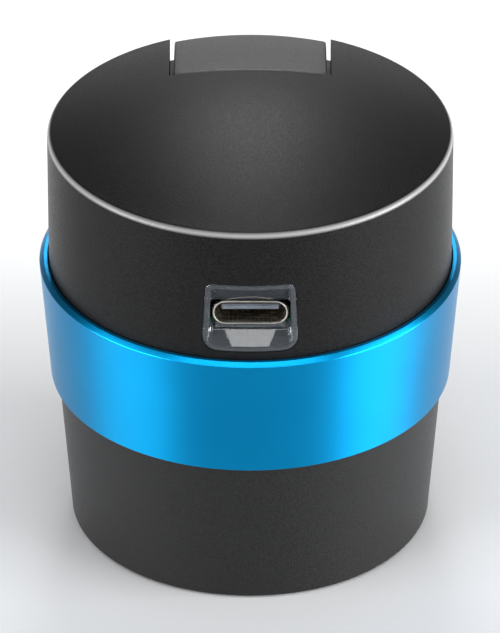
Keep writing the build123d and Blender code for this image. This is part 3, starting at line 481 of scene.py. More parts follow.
class Finishes:
    """All the finishes of the object, built once and handed out by the record's slot names."""

    def __init__(self) -> None:
        """Builds every finish."""
        black = from_screen(12, 12, 12)
        # Height and radius from which the shell's painted highlight along the dome's rim begins.
        dome_rim = (0.0514, 0.02358)
        made = (
            MouldedPolymer("shell_black", black, 0.38, specular=0.14, fleck=0.9, rim=dome_rim),
            MouldedPolymer("cup_black", black, 0.42, specular=0.34, fleck=0.9),
            MouldedPolymer("key_black", from_screen(28, 27, 27), 0.44, specular=0.6, fleck=0.4),
            AnodisedMetal("anodised_blue", from_screen(9, 137, 192), from_screen(11, 142, 197)),
            SmokedPlastic("smoke_clear", from_screen(128, 135, 142), 0.04),
            BrightMetal("plated_steel", from_screen(226, 220, 208), 0.22),
            BrightMetal("stainless", from_screen(205, 205, 204), 0.28),
            MouldedPolymer("moulded_black", from_screen(40, 40, 42), 0.5),
            MouldedPolymer("moulded_grey", from_screen(96, 104, 116), 0.4),
            BrightMetal("gold_contact", from_screen(226, 190, 110), 0.2),
            MouldedPolymer("black_rubber", from_screen(38, 38, 38), 0.75, grain_depth=0.00001),
            GlazedCeramic("white_ceramic", from_screen(238, 238, 234)),
            BrightMetal("black_zinc", from_screen(70, 70, 74), 0.4),
            BrightMetal("magnet_nickel", from_screen(214, 212, 208), 0.12),
            SmokedPlastic("clear_glass", from_screen(238, 246, 246), 0.02, clear=1.0, ior=1.52),
            BrightMetal("cell_steel", from_screen(216, 216, 214), 0.2),
            BoardLaminate("board_green", from_screen(16, 84, 52), from_screen(34, 112, 66)),
            MouldedPolymer("lamp_white", from_screen(240, 226, 150), 0.3, coat=0.8),
            MouldedPolymer("ribbon_amber", from_screen(176, 112, 34), 0.3, coat=0.3),
            MouldedPolymer("foam_grey", from_screen(76, 76, 78), 0.95, grain_depth=0.00008),
            BrightMetal("spring_steel", from_screen(200, 200, 200), 0.25),
        )
        self.by_slot = {finish.name: finish.build() for finish in made}

    def dress(self, piece: bpy.types.Object, slot: str) -> None:
        """Gives a piece the finish of a slot.

        Args:
            piece: The object to dress.
            slot: The record's slot name.
        """
        piece.data.materials.clear()
        piece.data.materials.append(self.by_slot[slot])


def rounded(corners: Sequence[Corner], segments: int = 5) -> list[Point]:
    """Turns corners with a radius each into the points of a closed outline.

    Args:
        corners: Place across, place up and radius of each corner, in millimetres.
        segments: Steps in each rounded corner.

    Returns:
        The outline's points. A corner with no radius stays one point.
    """
    points: list[Point] = []
    for index, (across, up, radius) in enumerate(corners):
        if radius <= 0:
            points.append((across, up))
            continue
        here = Vector((across, up))
        back = Vector(corners[index - 1][:2]) - here
        ahead = Vector(corners[(index + 1) % len(corners)][:2]) - here
        back.normalize()
        ahead.normalize()
        half = back.angle(ahead) / 2
        centre = here + (back + ahead).normalized() * radius / math.sin(half)
        first = here + back * radius / math.tan(half) - centre
        last = here + ahead * radius / math.tan(half) - centre
        sweep = math.pi - 2 * half
        side = 1 if first.x * last.y - first.y * last.x > 0 else -1
        for step in range(segments + 1):
            turn = side * sweep * step / segments
            spoke = Vector(
                (
                    first.x * math.cos(turn) - first.y * math.sin(turn),
                    first.x * math.sin(turn) + first.y * math.cos(turn),
                )
            )
            points.append(tuple(centre + spoke))
    return points


def divided(points: Sequence[Point], parts: int, segments: int = 5) -> list[Point]:
    """Divides the long edges between an outline's rounded corners into equal parts.

    Args:
        points: A closed outline made by rounded, with every corner rounded.
        parts: Parts that each long edge gets.
        segments: Steps in each rounded corner.

    Returns:
        The outline with more points.
    """
    result: list[Point] = []
    for index, point in enumerate(points):
        result.append(point)
        if index % (segments + 1) == segments:
            following = points[(index + 1) % len(points)]
            for part in range(1, parts):
                share = part / parts
                result.append(
                    (
                        point[0] + (following[0] - point[0]) * share,
                        point[1] + (following[1] - point[1]) * share,
                    )
                )
    return result


class Workbench:
    """Modelling steps that the sub-assemblies share, done with Blender's edit-mode tools."""

    @staticmethod
    def begin(primitive: Callable[..., set[str]], **settings: object) -> bpy.types.Object:
        """Adds a primitive while nothing else is selected.

        Args:
            primitive: Blender's operator that adds it.
            **settings: The operator's settings.

        Returns:
            The new object.
        """
        bpy.ops.object.select_all(action="DESELECT")
        primitive(**settings)
        return bpy.context.active_object

    @staticmethod
    def pick(piece: bpy.types.Object) -> None:
        """Selects one piece alone and makes it the active one."""
        bpy.ops.object.select_all(action="DESELECT")
        bpy.context.view_layer.objects.active = piece
        piece.select_set(True)

    @staticmethod
    def close(
        piece: bpy.types.Object, name: str, smooth: float = SMOOTH_ANGLE
    ) -> bpy.types.Object:
        """Merges doubles, turns all faces outwards, leaves edit mode and shades the piece.

        Args:
            piece: The piece, in edit mode.
            name: The piece's name.
            smooth: Angle in degrees below which an edge is shaded smooth.

        Returns:
            The piece.
        """
        bpy.ops.mesh.select_all(action="SELECT")
        bpy.ops.mesh.remove_doubles(threshold=MERGE_GAP)
        bpy.ops.mesh.normals_make_consistent(inside=False)
        bpy.ops.object.mode_set(mode="OBJECT")
        piece.name = name
        piece.data.name = name
        bpy.ops.object.shade_smooth_by_angle(angle=math.radians(smooth))
        return piece

    @staticmethod
    def turn(name: str, outline: Sequence[Point], steps: int) -> bpy.types.Object:
        """Turns a closed outline round the Z axis, as on a lathe.

        Args:
            name: The piece's name.
            outline: Radius and height of each point, in millimetres.
            steps: Steps round the axis.

        Returns:
            The turned piece.
        """
        piece = Workbench.begin(bpy.ops.mesh.primitive_plane_add, size=MM)
        bpy.ops.object.mode_set(mode="EDIT")
        bpy.ops.mesh.select_all(action="SELECT")
        bpy.ops.mesh.merge(type="CENTER")
        bpy.ops.transform.translate(value=(outline[0][0] * MM, 0, outline[0][1] * MM))
        for here, there in zip(outline, (*outline[1:], outline[0])):
            step = ((there[0] - here[0]) * MM, 0, (there[1] - here[1]) * MM)
            bpy.ops.mesh.extrude_vertices_move(TRANSFORM_OT_translate={"value": step})
        bpy.ops.mesh.select_all(action="SELECT")
        bpy.ops.mesh.remove_doubles(threshold=CLOSING_GAP)
        bpy.ops.mesh.spin(steps=steps, angle=math.tau, center=(0, 0, 0), axis=(0, 0, 1))
        return Workbench.close(piece, name)

    @staticmethod
    def draw_out(name: str, loops: Sequence[Sequence[Vector]], ring: bool) -> bpy.types.Object:
        """Extrudes one loop of edges from each given loop to the next.

        Args:
            name: The piece's name.
            loops: Loops with equally many points, in millimetres.
            ring: Whether the last loop joins the first; otherwise both ends are capped.

        Returns:
            The piece.
        """
        piece = Workbench.begin(
            bpy.ops.mesh.primitive_circle_add,
            vertices=len(loops[0]),
            radius=MM,
            fill_type="NOTHING",
        )
        bpy.ops.object.mode_set(mode="EDIT")
        mesh = bmesh.from_edit_mesh(piece.data)
        order = mesh.verts.layers.int.new("order")
        for index, vertex in enumerate(mesh.verts):
            vertex[order] = index
            vertex.co = loops[0][index] * MM
        bmesh.update_edit_mesh(piece.data)
        bpy.ops.mesh.select_all(action="SELECT")
        if not ring:
            bpy.ops.mesh.edge_face_add()
        following = (*loops[1:], loops[0]) if ring else loops[1:]
        for loop in following:
            bpy.ops.mesh.extrude_edges_move(TRANSFORM_OT_translate={"value": (0, 0, MM)})
            mesh = bmesh.from_edit_mesh(piece.data)
            order = mesh.verts.layers.int["order"]
            for vertex in mesh.verts:
                if vertex.select:
                    vertex.co = loop[vertex[order]] * MM
            bmesh.update_edit_mesh(piece.data)
        if not ring:
            bpy.ops.mesh.edge_face_add()
        mesh = bmesh.from_edit_mesh(piece.data)
        mesh.verts.layers.int.remove(mesh.verts.layers.int["order"])
        bmesh.update_edit_mesh(piece.data)
        return Workbench.close(piece, name)

    @staticmethod
    def carve(piece: bpy.types.Object, tool: bpy.types.Object, join: bool = False) -> None:
        """Cuts a tool's shape out of a piece, or adds it, and throws the tool away.

        Args:
            piece: The piece to shape.
            tool: The closed shape.
            join: Whether the shape is added instead of cut out.
        """
        Workbench.pick(piece)
        cut = piece.modifiers.new("cut", "BOOLEAN")
        cut.operation = "UNION" if join else "DIFFERENCE"
        cut.solver = "EXACT"
        cut.object = tool
        bpy.ops.object.modifier_apply(modifier=cut.name)
        bpy.data.objects.remove(tool)

    @staticmethod
    def even_shading(piece: bpy.types.Object) -> None:
        """Weights the shading by the faces' size, so that flat faces stay flat at their edges."""
        Workbench.pick(piece)
        weights = piece.modifiers.new("weights", "WEIGHTED_NORMAL")
        weights.keep_sharp = True
        bpy.ops.object.modifier_apply(modifier=weights.name)


@dataclass
class Assembly:
    """Base of the sub-assemblies, which places finished pieces in the frame."""

    finishes: Finishes
    body: ClassVar[Body]

    def fit(self, piece: bpy.types.Object, slot: str, *nodes: str) -> None:
        """Dresses a piece, lets it ride on its body and puts it in the place of frame nodes.

        Args:
            piece: The finished piece.
            slot: The record's slot that it takes its finish from.
            *nodes: The frame nodes that it stands for.
        """
        Workbench.even_shading(piece)
        self.finishes.dress(piece, slot)
        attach(piece, self.body.value)
        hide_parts(*nodes)
        log.info("%s: %d faces on %s", piece.name, len(piece.data.polygons), self.body.value)


@dataclass
class Cup(Assembly):
    """Blue grip ring, foot pad and calibration tile of the tapered cup."""

    body: ClassVar[Body] = Body.CUP
    seam_height: float = 31.0
    seam_radius: float = 23.94
    taper: float = 0.0787
    ring_bottom: float = 19.6
    ring_top: float = 35.1
    ring_wall: float = 0.86
    ring_bore: float = 24.15
    flange_underside: float = 30.17
    glue: float = 0.03
    ring_chamfer: float = 0.5
    ring_foot_edge: float = 0.15
    ring_shoulder_edge: float = 0.1
    ring_fine_edge: float = 0.06
    ring_bore_edge: float = 0.05
    foot_radius: float = 18.0
    foot_height: float = 0.8
    foot_edge: float = 0.3
    foot_top_edge: float = 0.1
    groove_radii: Span = (15.6, 16.4)
    groove_depth: float = 0.25
    groove_draft: float = 0.1
    groove_lip: float = 0.08
    groove_corner: float = 0.06
    tile_radius: float = 8.593
    tile_heights: Span = (3.4, 5.9)
    tile_edges: Span = (0.1, 0.25)

    def cone(self, height: float) -> float:
        """Radius of the cup's outer cone at a height."""
        return self.seam_radius - (self.seam_height - height) * self.taper

    def build_ring(self) -> None:
        """Turns the anodised ring, with its bright chamfer and its fine broken edges."""
        top_radius = self.cone(self.ring_top) + self.ring_wall
        foot = self.cone(self.ring_bottom)
        inner_step = self.cone(self.flange_underside) + self.glue
        outline = rounded(
            [
                (foot + self.glue, self.ring_bottom, self.ring_fine_edge),
                (foot + self.ring_wall, self.ring_bottom, self.ring_foot_edge),
                (top_radius, self.ring_top - self.ring_chamfer, self.ring_shoulder_edge),
                (top_radius - self.ring_chamfer, self.ring_top, self.ring_fine_edge),
                (self.ring_bore, self.ring_top, self.ring_bore_edge),
                (self.ring_bore, self.flange_underside, 0),
                (inner_step, self.flange_underside, 0),
            ],
            segments=4,
        )
        ring = Workbench.turn("anodised_ring", outline, steps=256)
        self.fit(ring, "anodised_blue", "grip_ring")

    def build_foot(self) -> None:
        """Turns the soft foot, with a round edge and a shallow groove in its underside."""
        inner, outer = self.groove_radii
        outline = rounded(
            [
                (0.0, 0.0, 0),
                (inner, 0.0, self.groove_lip),
                (inner + self.groove_draft, self.groove_depth, self.groove_corner),
                (outer - self.groove_draft, self.groove_depth, self.groove_corner),
                (outer, 0.0, self.groove_lip),
                (self.foot_radius, 0.0, self.foot_edge),
                (self.foot_radius, self.foot_height, self.foot_top_edge),
                (0.0, self.foot_height, 0),
            ],
            segments=4,
        )
        foot = Workbench.turn("soft_foot", outline, steps=144)
        self.fit(foot, "black_rubber", "foot_pad")

    def build_tile(self) -> None:
        """Turns the white tile, with a ground edge."""
        low, high = self.tile_heights
        lower_edge, upper_edge = self.tile_edges
        outline = rounded(
            [
                (0.0, low, 0),
                (self.tile_radius, low, lower_edge),
                (self.tile_radius, high, upper_edge),
                (0.0, high, 0),
            ]
        )
        tile = Workbench.turn("white_tile", outline, steps=128)
        self.fit(tile, "white_ceramic", "calibration_tile")

    def build(self) -> None:
        """Builds the pieces of the cup."""
        self.build_ring()
        self.build_foot()
        self.build_tile()


@dataclass
class Port(Assembly):
    """Smoky bezel in the front of the shell, and the charging port inside it."""

    body: ClassVar[Body] = Body.INSTRUMENT
    shell_radius: float = 24.0
    bezel_level: float = 40.6
    bezel_height: float = 9.0
    bezel_widths: Span = (11.3, 10.5)
    bezel_corners: Span = (1.7, 0.9)
    least_corner: float = 0.3
    bezel_rim: float = 0.65
    bezel_outer_edge: tuple[Point, ...] = ((0.0, 0.16), (0.04, 0.05), (0.13, 0.0))
    bezel_inner_edge: tuple[Point, ...] = ((0.12, 0.0), (0.03, 0.05), (0.0, 0.15))
    bezel_parts: int = 12
    bezel_back: float = 20.6
    port_level: float = 40.3
    mouth: Corner = (9.4, 4.0, 0.5)
    mouth_depth: float = 22.4
    mouth_lead: float = 0.16
    mouth_edge: Span = (0.02, 0.1)
    shell_section: Corner = (8.94, 3.26, 1.6)
    shell_wall: float = 0.3
    shell_roll: tuple[Point, ...] = ((0.0, 0.14), (0.04, 0.04), (0.13, 0.0))
    shell_front: float = 22.0
    shell_back: float = 14.7
    tongue_section: Corner = (6.7, 0.7, 0.12)
    tongue_taper: Span = (0.3, 0.18)
    tongue_front: float = 20.8
    block_section: Corner = (8.28, 2.6, 1.27)
    block_front: float = 16.3
    contact_size: Axes = (0.25, 3.4, 0.05)
    contact_edge: float = 0.3
    contact_pitch: float = 0.5
    contact_count: int = 12
    contact_front: float = 20.4

    def bezel_outline(self, inset: float) -> list[Point]:
        """Outline of the bezel's face, moved inwards.

        Args:
            inset: How far it is moved inwards, in millimetres.

        Returns:
            The outline's points, across and up.
        """
        low = self.bezel_level - self.bezel_height / 2 + inset
        high = self.bezel_level + self.bezel_height / 2 - inset
        bottom, top = (width / 2 - inset for width in self.bezel_widths)
        least = self.least_corner
        under, upper = (max(corner - inset, least) for corner in self.bezel_corners)
        corners = [
            (-bottom, low, under),
            (bottom, low, under),
            (top, high, upper),
            (-top, high, upper),
        ]
        return divided(rounded(corners), self.bezel_parts)

    def section(self, size: Corner, parts: int = 4, segments: int = 5) -> list[Point]:
        """Outline of a rounded rectangle at the port's level.

        Args:
            size: Its width, height and corner radius.
            parts: Parts that each long edge gets.
            segments: Steps in each rounded corner.

        Returns:
            The outline's points, across and up.
        """
        width, height, radius = size
        left, right = -width / 2, width / 2
        low, high = self.port_level - height / 2, self.port_level + height / 2
        corners = [
            (left, low, radius),
            (right, low, radius),
            (right, high, radius),
            (left, high, radius),
        ]
        return divided(rounded(corners, segments), parts, segments)

    def on_shell(self, outline: Sequence[Point], sink: float) -> list[Vector]:
        """Lays an outline on the shell's round front.

        Args:
            outline: Points across and up.
            sink: How far under the shell's surface it lies.

        Returns:
            The points in space.
        """
        radius = self.shell_radius - sink
        return [Vector((x, -math.sqrt(radius**2 - x**2), z)) for x, z in outline]

    def upright(self, outline: Sequence[Point], depth: float) -> list[Vector]:
        """Puts an outline on the upright plane at a distance in front of the axis."""
        return [Vector((x, -depth, z)) for x, z in outline]

    def build_bezel(self) -> None:
        """Draws the bezel out: rounded rim, sloping pocket, mouth and back."""
        width, height, corner = self.mouth
        lead = self.mouth_lead
        mouth = self.section(self.mouth, self.bezel_parts)
        soft = self.section((width + lead, height + lead, corner), self.bezel_parts)
        before, behind = self.mouth_edge
        edges = [
            *self.bezel_outer_edge,
            *((self.bezel_rim - back, sink) for back, sink in self.bezel_inner_edge),
        ]
        loops = [
            *(self.on_shell(self.bezel_outline(inset), sink) for inset, sink in edges),
            self.upright(soft, self.mouth_depth + before),
            self.upright(mouth, self.mouth_depth - behind),
            self.upright(mouth, self.bezel_back),
            self.upright(self.bezel_outline(0.0), self.bezel_back),
        ]
        bezel = Workbench.draw_out("smoky_bezel", loops, ring=True)
        self.fit(bezel, "smoke_clear", "port_bezel")

    def build_shell(self) -> None:
        """Draws out the port's metal shell, with its rolled front edge."""
        width, height, corner = self.shell_section
        wall, front = self.shell_wall, self.shell_front
        steps = (
            (0.0, self.shell_back),
            *((inset, front - drop) for inset, drop in self.shell_roll),
            *((wall - inset, front - drop) for inset, drop in reversed(self.shell_roll)),
            (wall, self.shell_back),
        )
        loops = []
        for inset, depth in steps:
            size = (width - 2 * inset, height - 2 * inset, corner - inset)
            loops.append(self.upright(self.section(size, segments=8), depth))
        shell = Workbench.draw_out("port_shell", loops, ring=True)
        self.fit(shell, "plated_steel", "usb_shell")

    def build_insulator(self) -> None:
        """Draws out the insulator's block and its thin tongue with a tapered tip."""
        width, height, corner = self.tongue_section
        narrower, length = self.tongue_taper
        block = self.section(self.block_section)
        tongue = self.section(self.tongue_section)
        tip = self.section((width - narrower, height - narrower, corner))
        loops = [
            self.upright(block, self.shell_back),
            self.upright(block, self.block_front),
            self.upright(tongue, self.block_front),
            self.upright(tongue, self.tongue_front - length),
            self.upright(tip, self.tongue_front),
        ]
        insulator = Workbench.draw_out("port_tongue", loops, ring=False)
        self.fit(insulator, "moulded_grey", "usb_insulator")

    def build_contacts(self) -> None:
        """Models one contact with broken edges and copies it along both faces of the tongue."""
        across, along, thick = (size * MM for size in self.contact_size)
        half_tongue = self.tongue_section[1] / 2 * MM
        contacts = Workbench.begin(bpy.ops.mesh.primitive_cube_add, size=1)
        bpy.ops.object.mode_set(mode="EDIT")
        bpy.ops.mesh.select_all(action="SELECT")
        bpy.ops.transform.resize(value=(across, along, thick))
        bpy.ops.mesh.bevel(offset=thick * self.contact_edge, segments=2, affect="EDGES")
        reach = (self.contact_count - 1) / 2 * self.contact_pitch * MM
        first = (
            -reach,
            -self.contact_front * MM + along / 2,
            self.port_level * MM + half_tongue + thick / 2,
        )
        bpy.ops.mesh.select_all(action="SELECT")
        bpy.ops.transform.translate(value=first)
        for _ in range(self.contact_count - 1):
            bpy.ops.mesh.duplicate_move(
                TRANSFORM_OT_translate={"value": (self.contact_pitch * MM, 0, 0)}
            )
        bpy.ops.mesh.select_all(action="SELECT")
        drop = -2 * half_tongue - thick
        bpy.ops.mesh.duplicate_move(TRANSFORM_OT_translate={"value": (0, 0, drop)})
        Workbench.close(contacts, "port_contacts")
        self.fit(contacts, "gold_contact", "usb_contacts")

    def build(self) -> None:
        """Builds the pieces of the port."""
        self.build_bezel()
        self.build_shell()
        self.build_insulator()
        self.build_contacts()


@dataclass
class Nose(Assembly):
    """Ring at the tip of the measuring nose, which stands on the sample."""

    body: ClassVar[Body] = Body.INSTRUMENT
    radii: Span = (4.093, 6.893)
    heights: Span = (6.0, 7.37)
    lip: float = 0.3

    def build(self) -> None:
        """Turns the contact ring, with a round lip that doesn't mark the sample."""
        inner, outer = self.radii
        low, high = self.heights
        outline = rounded(
            [
                (inner, low, self.lip),
                (outer, low, self.lip),
                (outer, high, 0),
                (inner, high, 0),
            ]
        )
        ring = Workbench.turn("sample_lip", outline, steps=144)
        self.fit(ring, "stainless", "contact_ring")


@dataclass
class ThumbKey(Assembly):
    """Key at the back of the dome, hollow under its roof, with its knuckle and its stem."""

    body: ClassVar[Body] = Body.KEY
    half_width: float = 9.1
    front: float = 8.4
    rear_radius: float = 23.9
    skirt: float = 49.72
    ball: float = 75.8
    ball_place: float = -1.969
    ball_level: float = -19.654
    roof: float = 1.4
    wall: float = 1.2
    edge: float = 0.25
    rear_edge: float = 0.9
    crisp: float = 0.01
    flatness: float = 1.0
    overshoot: float = 3.0
    columns: int = 26
    rows: int = 22
    edge_steps: tuple[float, ...] = (0.0, 0.03, 0.12, 0.3, 0.55, 1.0)
    pin_place: float = 9.8
    pin_level: float = 51.733
    knuckle_radius: float = 1.2
    knuckle_bore: float = 0.65
    knuckle_width: float = 10.0
    web_rise: float = 3.2
    stem_place: float = 17.5
    stem_radius: float = 1.1
    stem_bottom: float = 47.15
    stem_tip: float = 0.25
    seat_radius: float = 2.5
    seat_level: float = 52.0
    seat_corner: float = 0.1
    smooth_angle: float = 30.0

    def dome(self, across: float, along: float, sink: float = 0.0) -> float:
        """Height of the key's dome, or of a dome that lies under it.

        Args:
            across: Place across the key.
            along: Place along the key.
            sink: How far the dome lies under the key's surface.

        Returns:
            The height in millimetres.
        """
        ball = self.ball - sink
        return self.ball_level + math.sqrt(
            ball**2 - across**2 - (along - self.ball_place) ** 2
        )

    @staticmethod
    def fall(distance: float, radius: float) -> float:
        """How far a rounded edge lies under the face, at a distance from the edge."""
        if distance >= radius:
            return 0.0
        return radius - math.sqrt(radius**2 - (radius - distance) ** 2)

    def block(
        self, front: float, half: float, rear: float, sink: float, bottom: float, soft: bool
    ) -> bpy.types.Object:
        """Shapes a grid into a domed block with rounded edges.

        Args:
            front: Place of its front.
            half: Half its width.
            rear: Radius of its rear.
            sink: How far its top lies under the key's surface.
            bottom: Height of its underside.
            soft: Whether its edges are rounded.

        Returns:
            The block.
        """
        edge = self.edge if soft else self.crisp
        rear_edge = self.rear_edge if soft else self.crisp
        sides = [step * edge for step in self.edge_steps]
        steps = self.columns // 2
        middle = [edge + (half - edge) * step / steps for step in range(1, steps)]
        gaps = [*sides, *middle, half]
        across = [gap - half for gap in gaps] + [half - gap for gap in reversed(gaps[:-1])]
        rear_gaps = [step * rear_edge for step in reversed(self.edge_steps)]
        count = len(sides) + self.rows + len(rear_gaps)
        block = Workbench.begin(
            bpy.ops.mesh.primitive_grid_add,
            x_subdivisions=len(across) - 1,
            y_subdivisions=count - 1,
            size=1,
        )
        bpy.ops.object.mode_set(mode="EDIT")
        mesh = bmesh.from_edit_mesh(block.data)
        for vertex in mesh.verts:
            column = round((vertex.co.x + 0.5) * (len(across) - 1))
            row = round((vertex.co.y + 0.5) * (count - 1))
            x = across[column]
            end = math.sqrt(rear**2 - x**2)
            if row < len(sides):
                y = front + sides[row]
            elif row >= count - len(rear_gaps):
                y = end - rear_gaps[row - count]
            else:
                share = (row - len(sides) + 1) / (self.rows + 1)
                y = front + edge + (end - rear_edge - front - edge) * share
            height = self.dome(x, y, sink)
            if soft:
                height -= self.fall(half - abs(x), edge) + self.fall(y - front, edge)
                height -= self.fall(end - y, rear_edge)
            vertex.co = Vector((x, y, height)) * MM
        bmesh.update_edit_mesh(block.data)
        bpy.ops.mesh.select_all(action="SELECT")
        bpy.ops.mesh.extrude_region_move(TRANSFORM_OT_translate={"value": (0, 0, -MM)})
        mesh = bmesh.from_edit_mesh(block.data)
        for vertex in mesh.verts:
            if vertex.select:
                vertex.co.z = bottom * MM
        bmesh.update_edit_mesh(block.data)
        bpy.ops.mesh.dissolve_limited(angle_limit=math.radians(self.flatness))
        return Workbench.close(block, "block")

    def along_pin(self, radius: float, length: float, vertices: int) -> bpy.types.Object:
        """Makes a cylinder round the pin's axis.

        Args:
            radius: Its radius.
            length: Its length.
            vertices: Steps round it.

        Returns:
            The cylinder.
        """
        cylinder = Workbench.begin(
            bpy.ops.mesh.primitive_cylinder_add,
            vertices=vertices,
            radius=radius * MM,
            depth=length * MM,
            location=Vector((0, self.pin_place, self.pin_level)) * MM,
            rotation=(0, math.pi / 2, 0),
        )
        bpy.ops.object.transform_apply(location=True, rotation=True, scale=True)
        return cylinder

    def knuckle(self) -> bpy.types.Object:
        """Makes the knuckle that turns on the pin, with its web up to the roof."""
        width, rise = self.knuckle_width, self.web_rise
        knuckle = self.along_pin(self.knuckle_radius, width, vertices=64)
        middle = Vector((0, self.pin_place, self.pin_level)) * MM
        web = Workbench.begin(
            bpy.ops.mesh.primitive_cube_add,
            size=1,
            location=middle + Vector((0, 0, rise / 2 * MM)),
            scale=(width * MM, 2 * self.knuckle_radius * MM, rise * MM),
        )
        bpy.ops.object.transform_apply(location=True, rotation=True, scale=True)
        Workbench.carve(knuckle, web, join=True)
        bore = self.along_pin(self.knuckle_bore, 2 * width, vertices=48)
        Workbench.carve(knuckle, bore)
        return knuckle

    def stem(self) -> bpy.types.Object:
        """Makes the round stem that presses the switch, with a soft tip."""
        top = self.dome(0, self.stem_place) - self.roof / 2
        outline = rounded(
            [
                (0.0, self.stem_bottom, 0),
                (self.stem_radius, self.stem_bottom, self.stem_tip),
                (self.stem_radius, top, 0),
                (0.0, top, 0),
            ]
        )
        return self.over_stem(Workbench.turn("stem", outline, steps=48))

    def over_stem(self, piece: bpy.types.Object) -> bpy.types.Object:
        """Moves a turned piece onto the stem's axis and applies its place.

        Args:
            piece: A piece round the Z axis.

        Returns:
            The piece.
        """
        piece.location.y = self.stem_place * MM
        Workbench.pick(piece)
        bpy.ops.object.transform_apply(location=True, rotation=True, scale=True)
        return piece

    def spring_seat(self) -> bpy.types.Object:
        """Makes the flat recess in the roof that the spring's last turn moves in."""
        outline = [
            (0.0, self.skirt, 0),
            (self.seat_radius, self.skirt, 0),
            (self.seat_radius, self.seat_level, self.seat_corner),
            (0.0, self.seat_level, 0),
        ]
        return self.over_stem(Workbench.turn("seat", rounded(outline), steps=64))

    def build(self) -> None:
        """Builds the key: domed block, hollow, knuckle and stem."""
        key = self.block(
            self.front, self.half_width, self.rear_radius, 0.0, self.skirt, soft=True
        )
        hollow = self.block(
            self.front - self.overshoot,
            self.half_width - self.wall,
            self.rear_radius - self.wall,
            self.roof,
            self.skirt - self.overshoot,
            soft=False,
        )
        Workbench.carve(key, hollow)
        Workbench.carve(key, self.spring_seat())
        Workbench.carve(key, self.knuckle(), join=True)
        Workbench.carve(key, self.stem(), join=True)
        bpy.ops.object.mode_set(mode="EDIT")
        Workbench.close(key, "rear_key", self.smooth_angle)
        self.fit(key, "key_black", "thumb_key")


@dataclass(frozen=True)
class Lamp:
    """A soft rectangular lamp that faces the object."""

    name: str
    place: Axes
    width: float
    height: float
    power: float

    def build(self, target: Vector) -> None:
        """Adds the lamp, turned to a target."""
        data = bpy.data.lights.new(self.name, "AREA")
        data.shape = "RECTANGLE"
        data.size = self.width
        data.size_y = self.height
        data.energy = self.power
        lamp = bpy.data.objects.new(self.name, data)
        lamp.location = self.place
        lamp.rotation_euler = (target - lamp.location).to_track_quat("-Z", "Y").to_euler()
        bpy.context.scene.collection.objects.link(lamp)


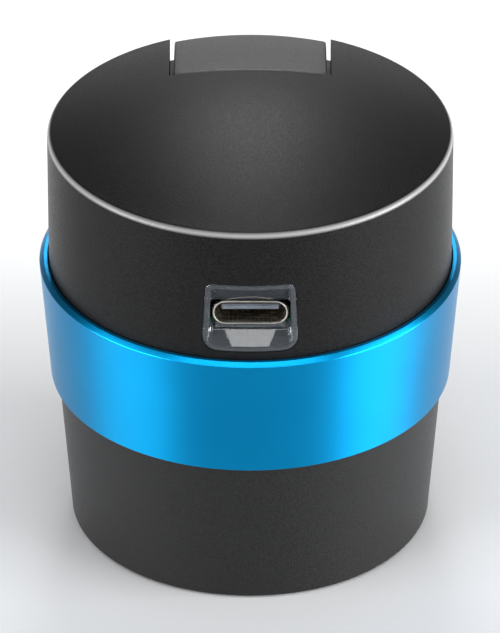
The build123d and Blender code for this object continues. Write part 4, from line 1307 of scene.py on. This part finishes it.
@dataclass
class Studio:
    """A pale floor and backdrop, soft lamps and the camera at the photograph's viewing angle."""

    lamps: ClassVar[tuple[Lamp, ...]] = (
        Lamp("overhead", (0, 0.02, 0.8), 0.3, 0.3, 1.5),
        Lamp("back_panel", (0, 0.52, 0.65), 0.15, 0.56, 2.3),
        Lamp("front_top", (0, -0.42, 0.7), 0.9, 0.2, 3.8),
        Lamp("left_strip", (-0.53, -0.27, 0.1), 0.46, 0.19, 7.2),
        Lamp("right_strip", (0.56, -0.21, 0.1), 0.46, 0.19, 12.5),
    )
    lamp_aim: float = 0.03
    camera_distance: float = 1.0
    camera_elevation: float = 31.6
    aim_height: float = 0.0263
    focal_pixels: float = 8358.0
    frame_width: int = 500
    frame_height: int = 633
    centre_column: float = 250.3
    centre_row: float = 316.0
    sensor_width: float = 36.0
    view_reach: float = 20.0
    floor_size: float = 8.0
    # Painted shade: the floor's colour is darker near the camera and paler far away, standing in
    # for light falling off across it.
    floor_near: Color = from_screen(168, 169, 171)
    floor_far: Color = from_screen(224, 224, 224)
    floor_fade: Span = (-0.05, 0.13)
    floor_rough: float = 0.9
    floor_specular: float = 0.1
    backdrop: Color = from_screen(252, 252, 253)
    sweep_elevation: float = 8.0
    sweep_core: float = 7.0
    sweep_spread: float = 26.0
    sweep_strength: float = 0.95
    dim_strength: float = 0.15

    def add_camera(self) -> None:
        """Adds the camera, aimed at the object's axis."""
        data = bpy.data.cameras.new("camera")
        data.sensor_width = self.sensor_width
        data.lens = self.focal_pixels / self.frame_height * data.sensor_width
        data.shift_x = (self.frame_width / 2 - self.centre_column) / self.frame_height
        data.shift_y = (self.centre_row - self.frame_height / 2) / self.frame_height
        data.clip_end = self.view_reach
        camera = bpy.data.objects.new("camera", data)
        lean = math.radians(self.camera_elevation)
        away = Vector((0, -math.cos(lean), math.sin(lean)))
        camera.location = Vector((0, 0, self.aim_height)) + away * self.camera_distance
        camera.rotation_euler = (math.pi / 2 - lean, 0, 0)
        bpy.context.scene.collection.objects.link(camera)
        bpy.context.scene.camera = camera

    def add_lamps(self) -> None:
        """Adds the lamps: three above the object and a low one at each side."""
        for lamp in self.lamps:
            lamp.build(Vector((0, 0, self.lamp_aim)))

    def add_floor(self) -> None:
        """Adds the pale floor, which carries on as the backdrop, with painted shade that darkens
        it towards the camera.
        """
        floor = Workbench.begin(bpy.ops.mesh.primitive_plane_add, size=self.floor_size)
        floor.name = "floor"
        tree = NodeTree("floor_paper")
        parts = tree.add("ShaderNodeSeparateXYZ")
        tree.join(tree.place, parts.inputs["Vector"])
        near, far = self.floor_fade
        sweep = tree.add("ShaderNodeMapRange", From_Min=near, From_Max=far)
        tree.join(parts.outputs["Y"], sweep.inputs["Value"])
        # Painted shade: the colour fades from the darker near tone to the paler far one.
        paper = tree.blend(sweep.outputs["Result"], self.floor_near, self.floor_far)
        tree.join(paper, tree.shader.inputs["Base Color"])
        tree.set(Roughness=self.floor_rough, Specular_IOR_Level=self.floor_specular)
        floor.data.materials.append(tree.material)

    def add_world(self) -> None:
        """Gives the surroundings a soft light that is brightest low behind the object."""
        world = bpy.data.worlds.new("studio")
        world.use_nodes = True
        bpy.context.scene.world = world
        tree = world.node_tree
        sky = tree.nodes["Background"]
        sky.inputs["Color"].default_value = (*self.backdrop, 1)
        place = tree.nodes.new("ShaderNodeTexCoord")
        toward = tree.nodes.new("ShaderNodeVectorMath")
        toward.operation = "DOT_PRODUCT"
        lean = math.radians(self.sweep_elevation)
        toward.inputs[1].default_value = (0, math.cos(lean), math.sin(lean))
        glow = tree.nodes.new("ShaderNodeMapRange")
        glow.interpolation_type = "SMOOTHSTEP"
        glow.inputs["From Min"].default_value = math.cos(math.radians(self.sweep_spread))
        glow.inputs["From Max"].default_value = math.cos(math.radians(self.sweep_core))
        glow.inputs["To Min"].default_value = self.dim_strength
        glow.inputs["To Max"].default_value = self.sweep_strength
        tree.links.new(place.outputs["Generated"], toward.inputs[0])
        tree.links.new(toward.outputs["Value"], glow.inputs["Value"])
        tree.links.new(glow.outputs["Result"], sky.inputs["Strength"])

    def build(self) -> None:
        """Builds the studio."""
        self.add_floor()
        self.add_world()
        self.add_lamps()
        self.add_camera()
        bpy.context.scene.view_settings.view_transform = "Standard"


def main() -> None:
    """Builds the finishes, the pieces and the studio, in that order."""
    logging.basicConfig(level=logging.INFO, format="%(message)s")
    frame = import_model()
    finishes = Finishes()
    for part in frame["record"]["subparts"]:
        finishes.dress(frame["nodes"][part["node"]], part["material_slot"])
    for assembly in (Cup, Port, Nose, ThumbKey):
        assembly(finishes).build()
    Studio().build()
    log.info("dressed %d pieces", len(frame["nodes"]))


if __name__ == "__main__":
    main()
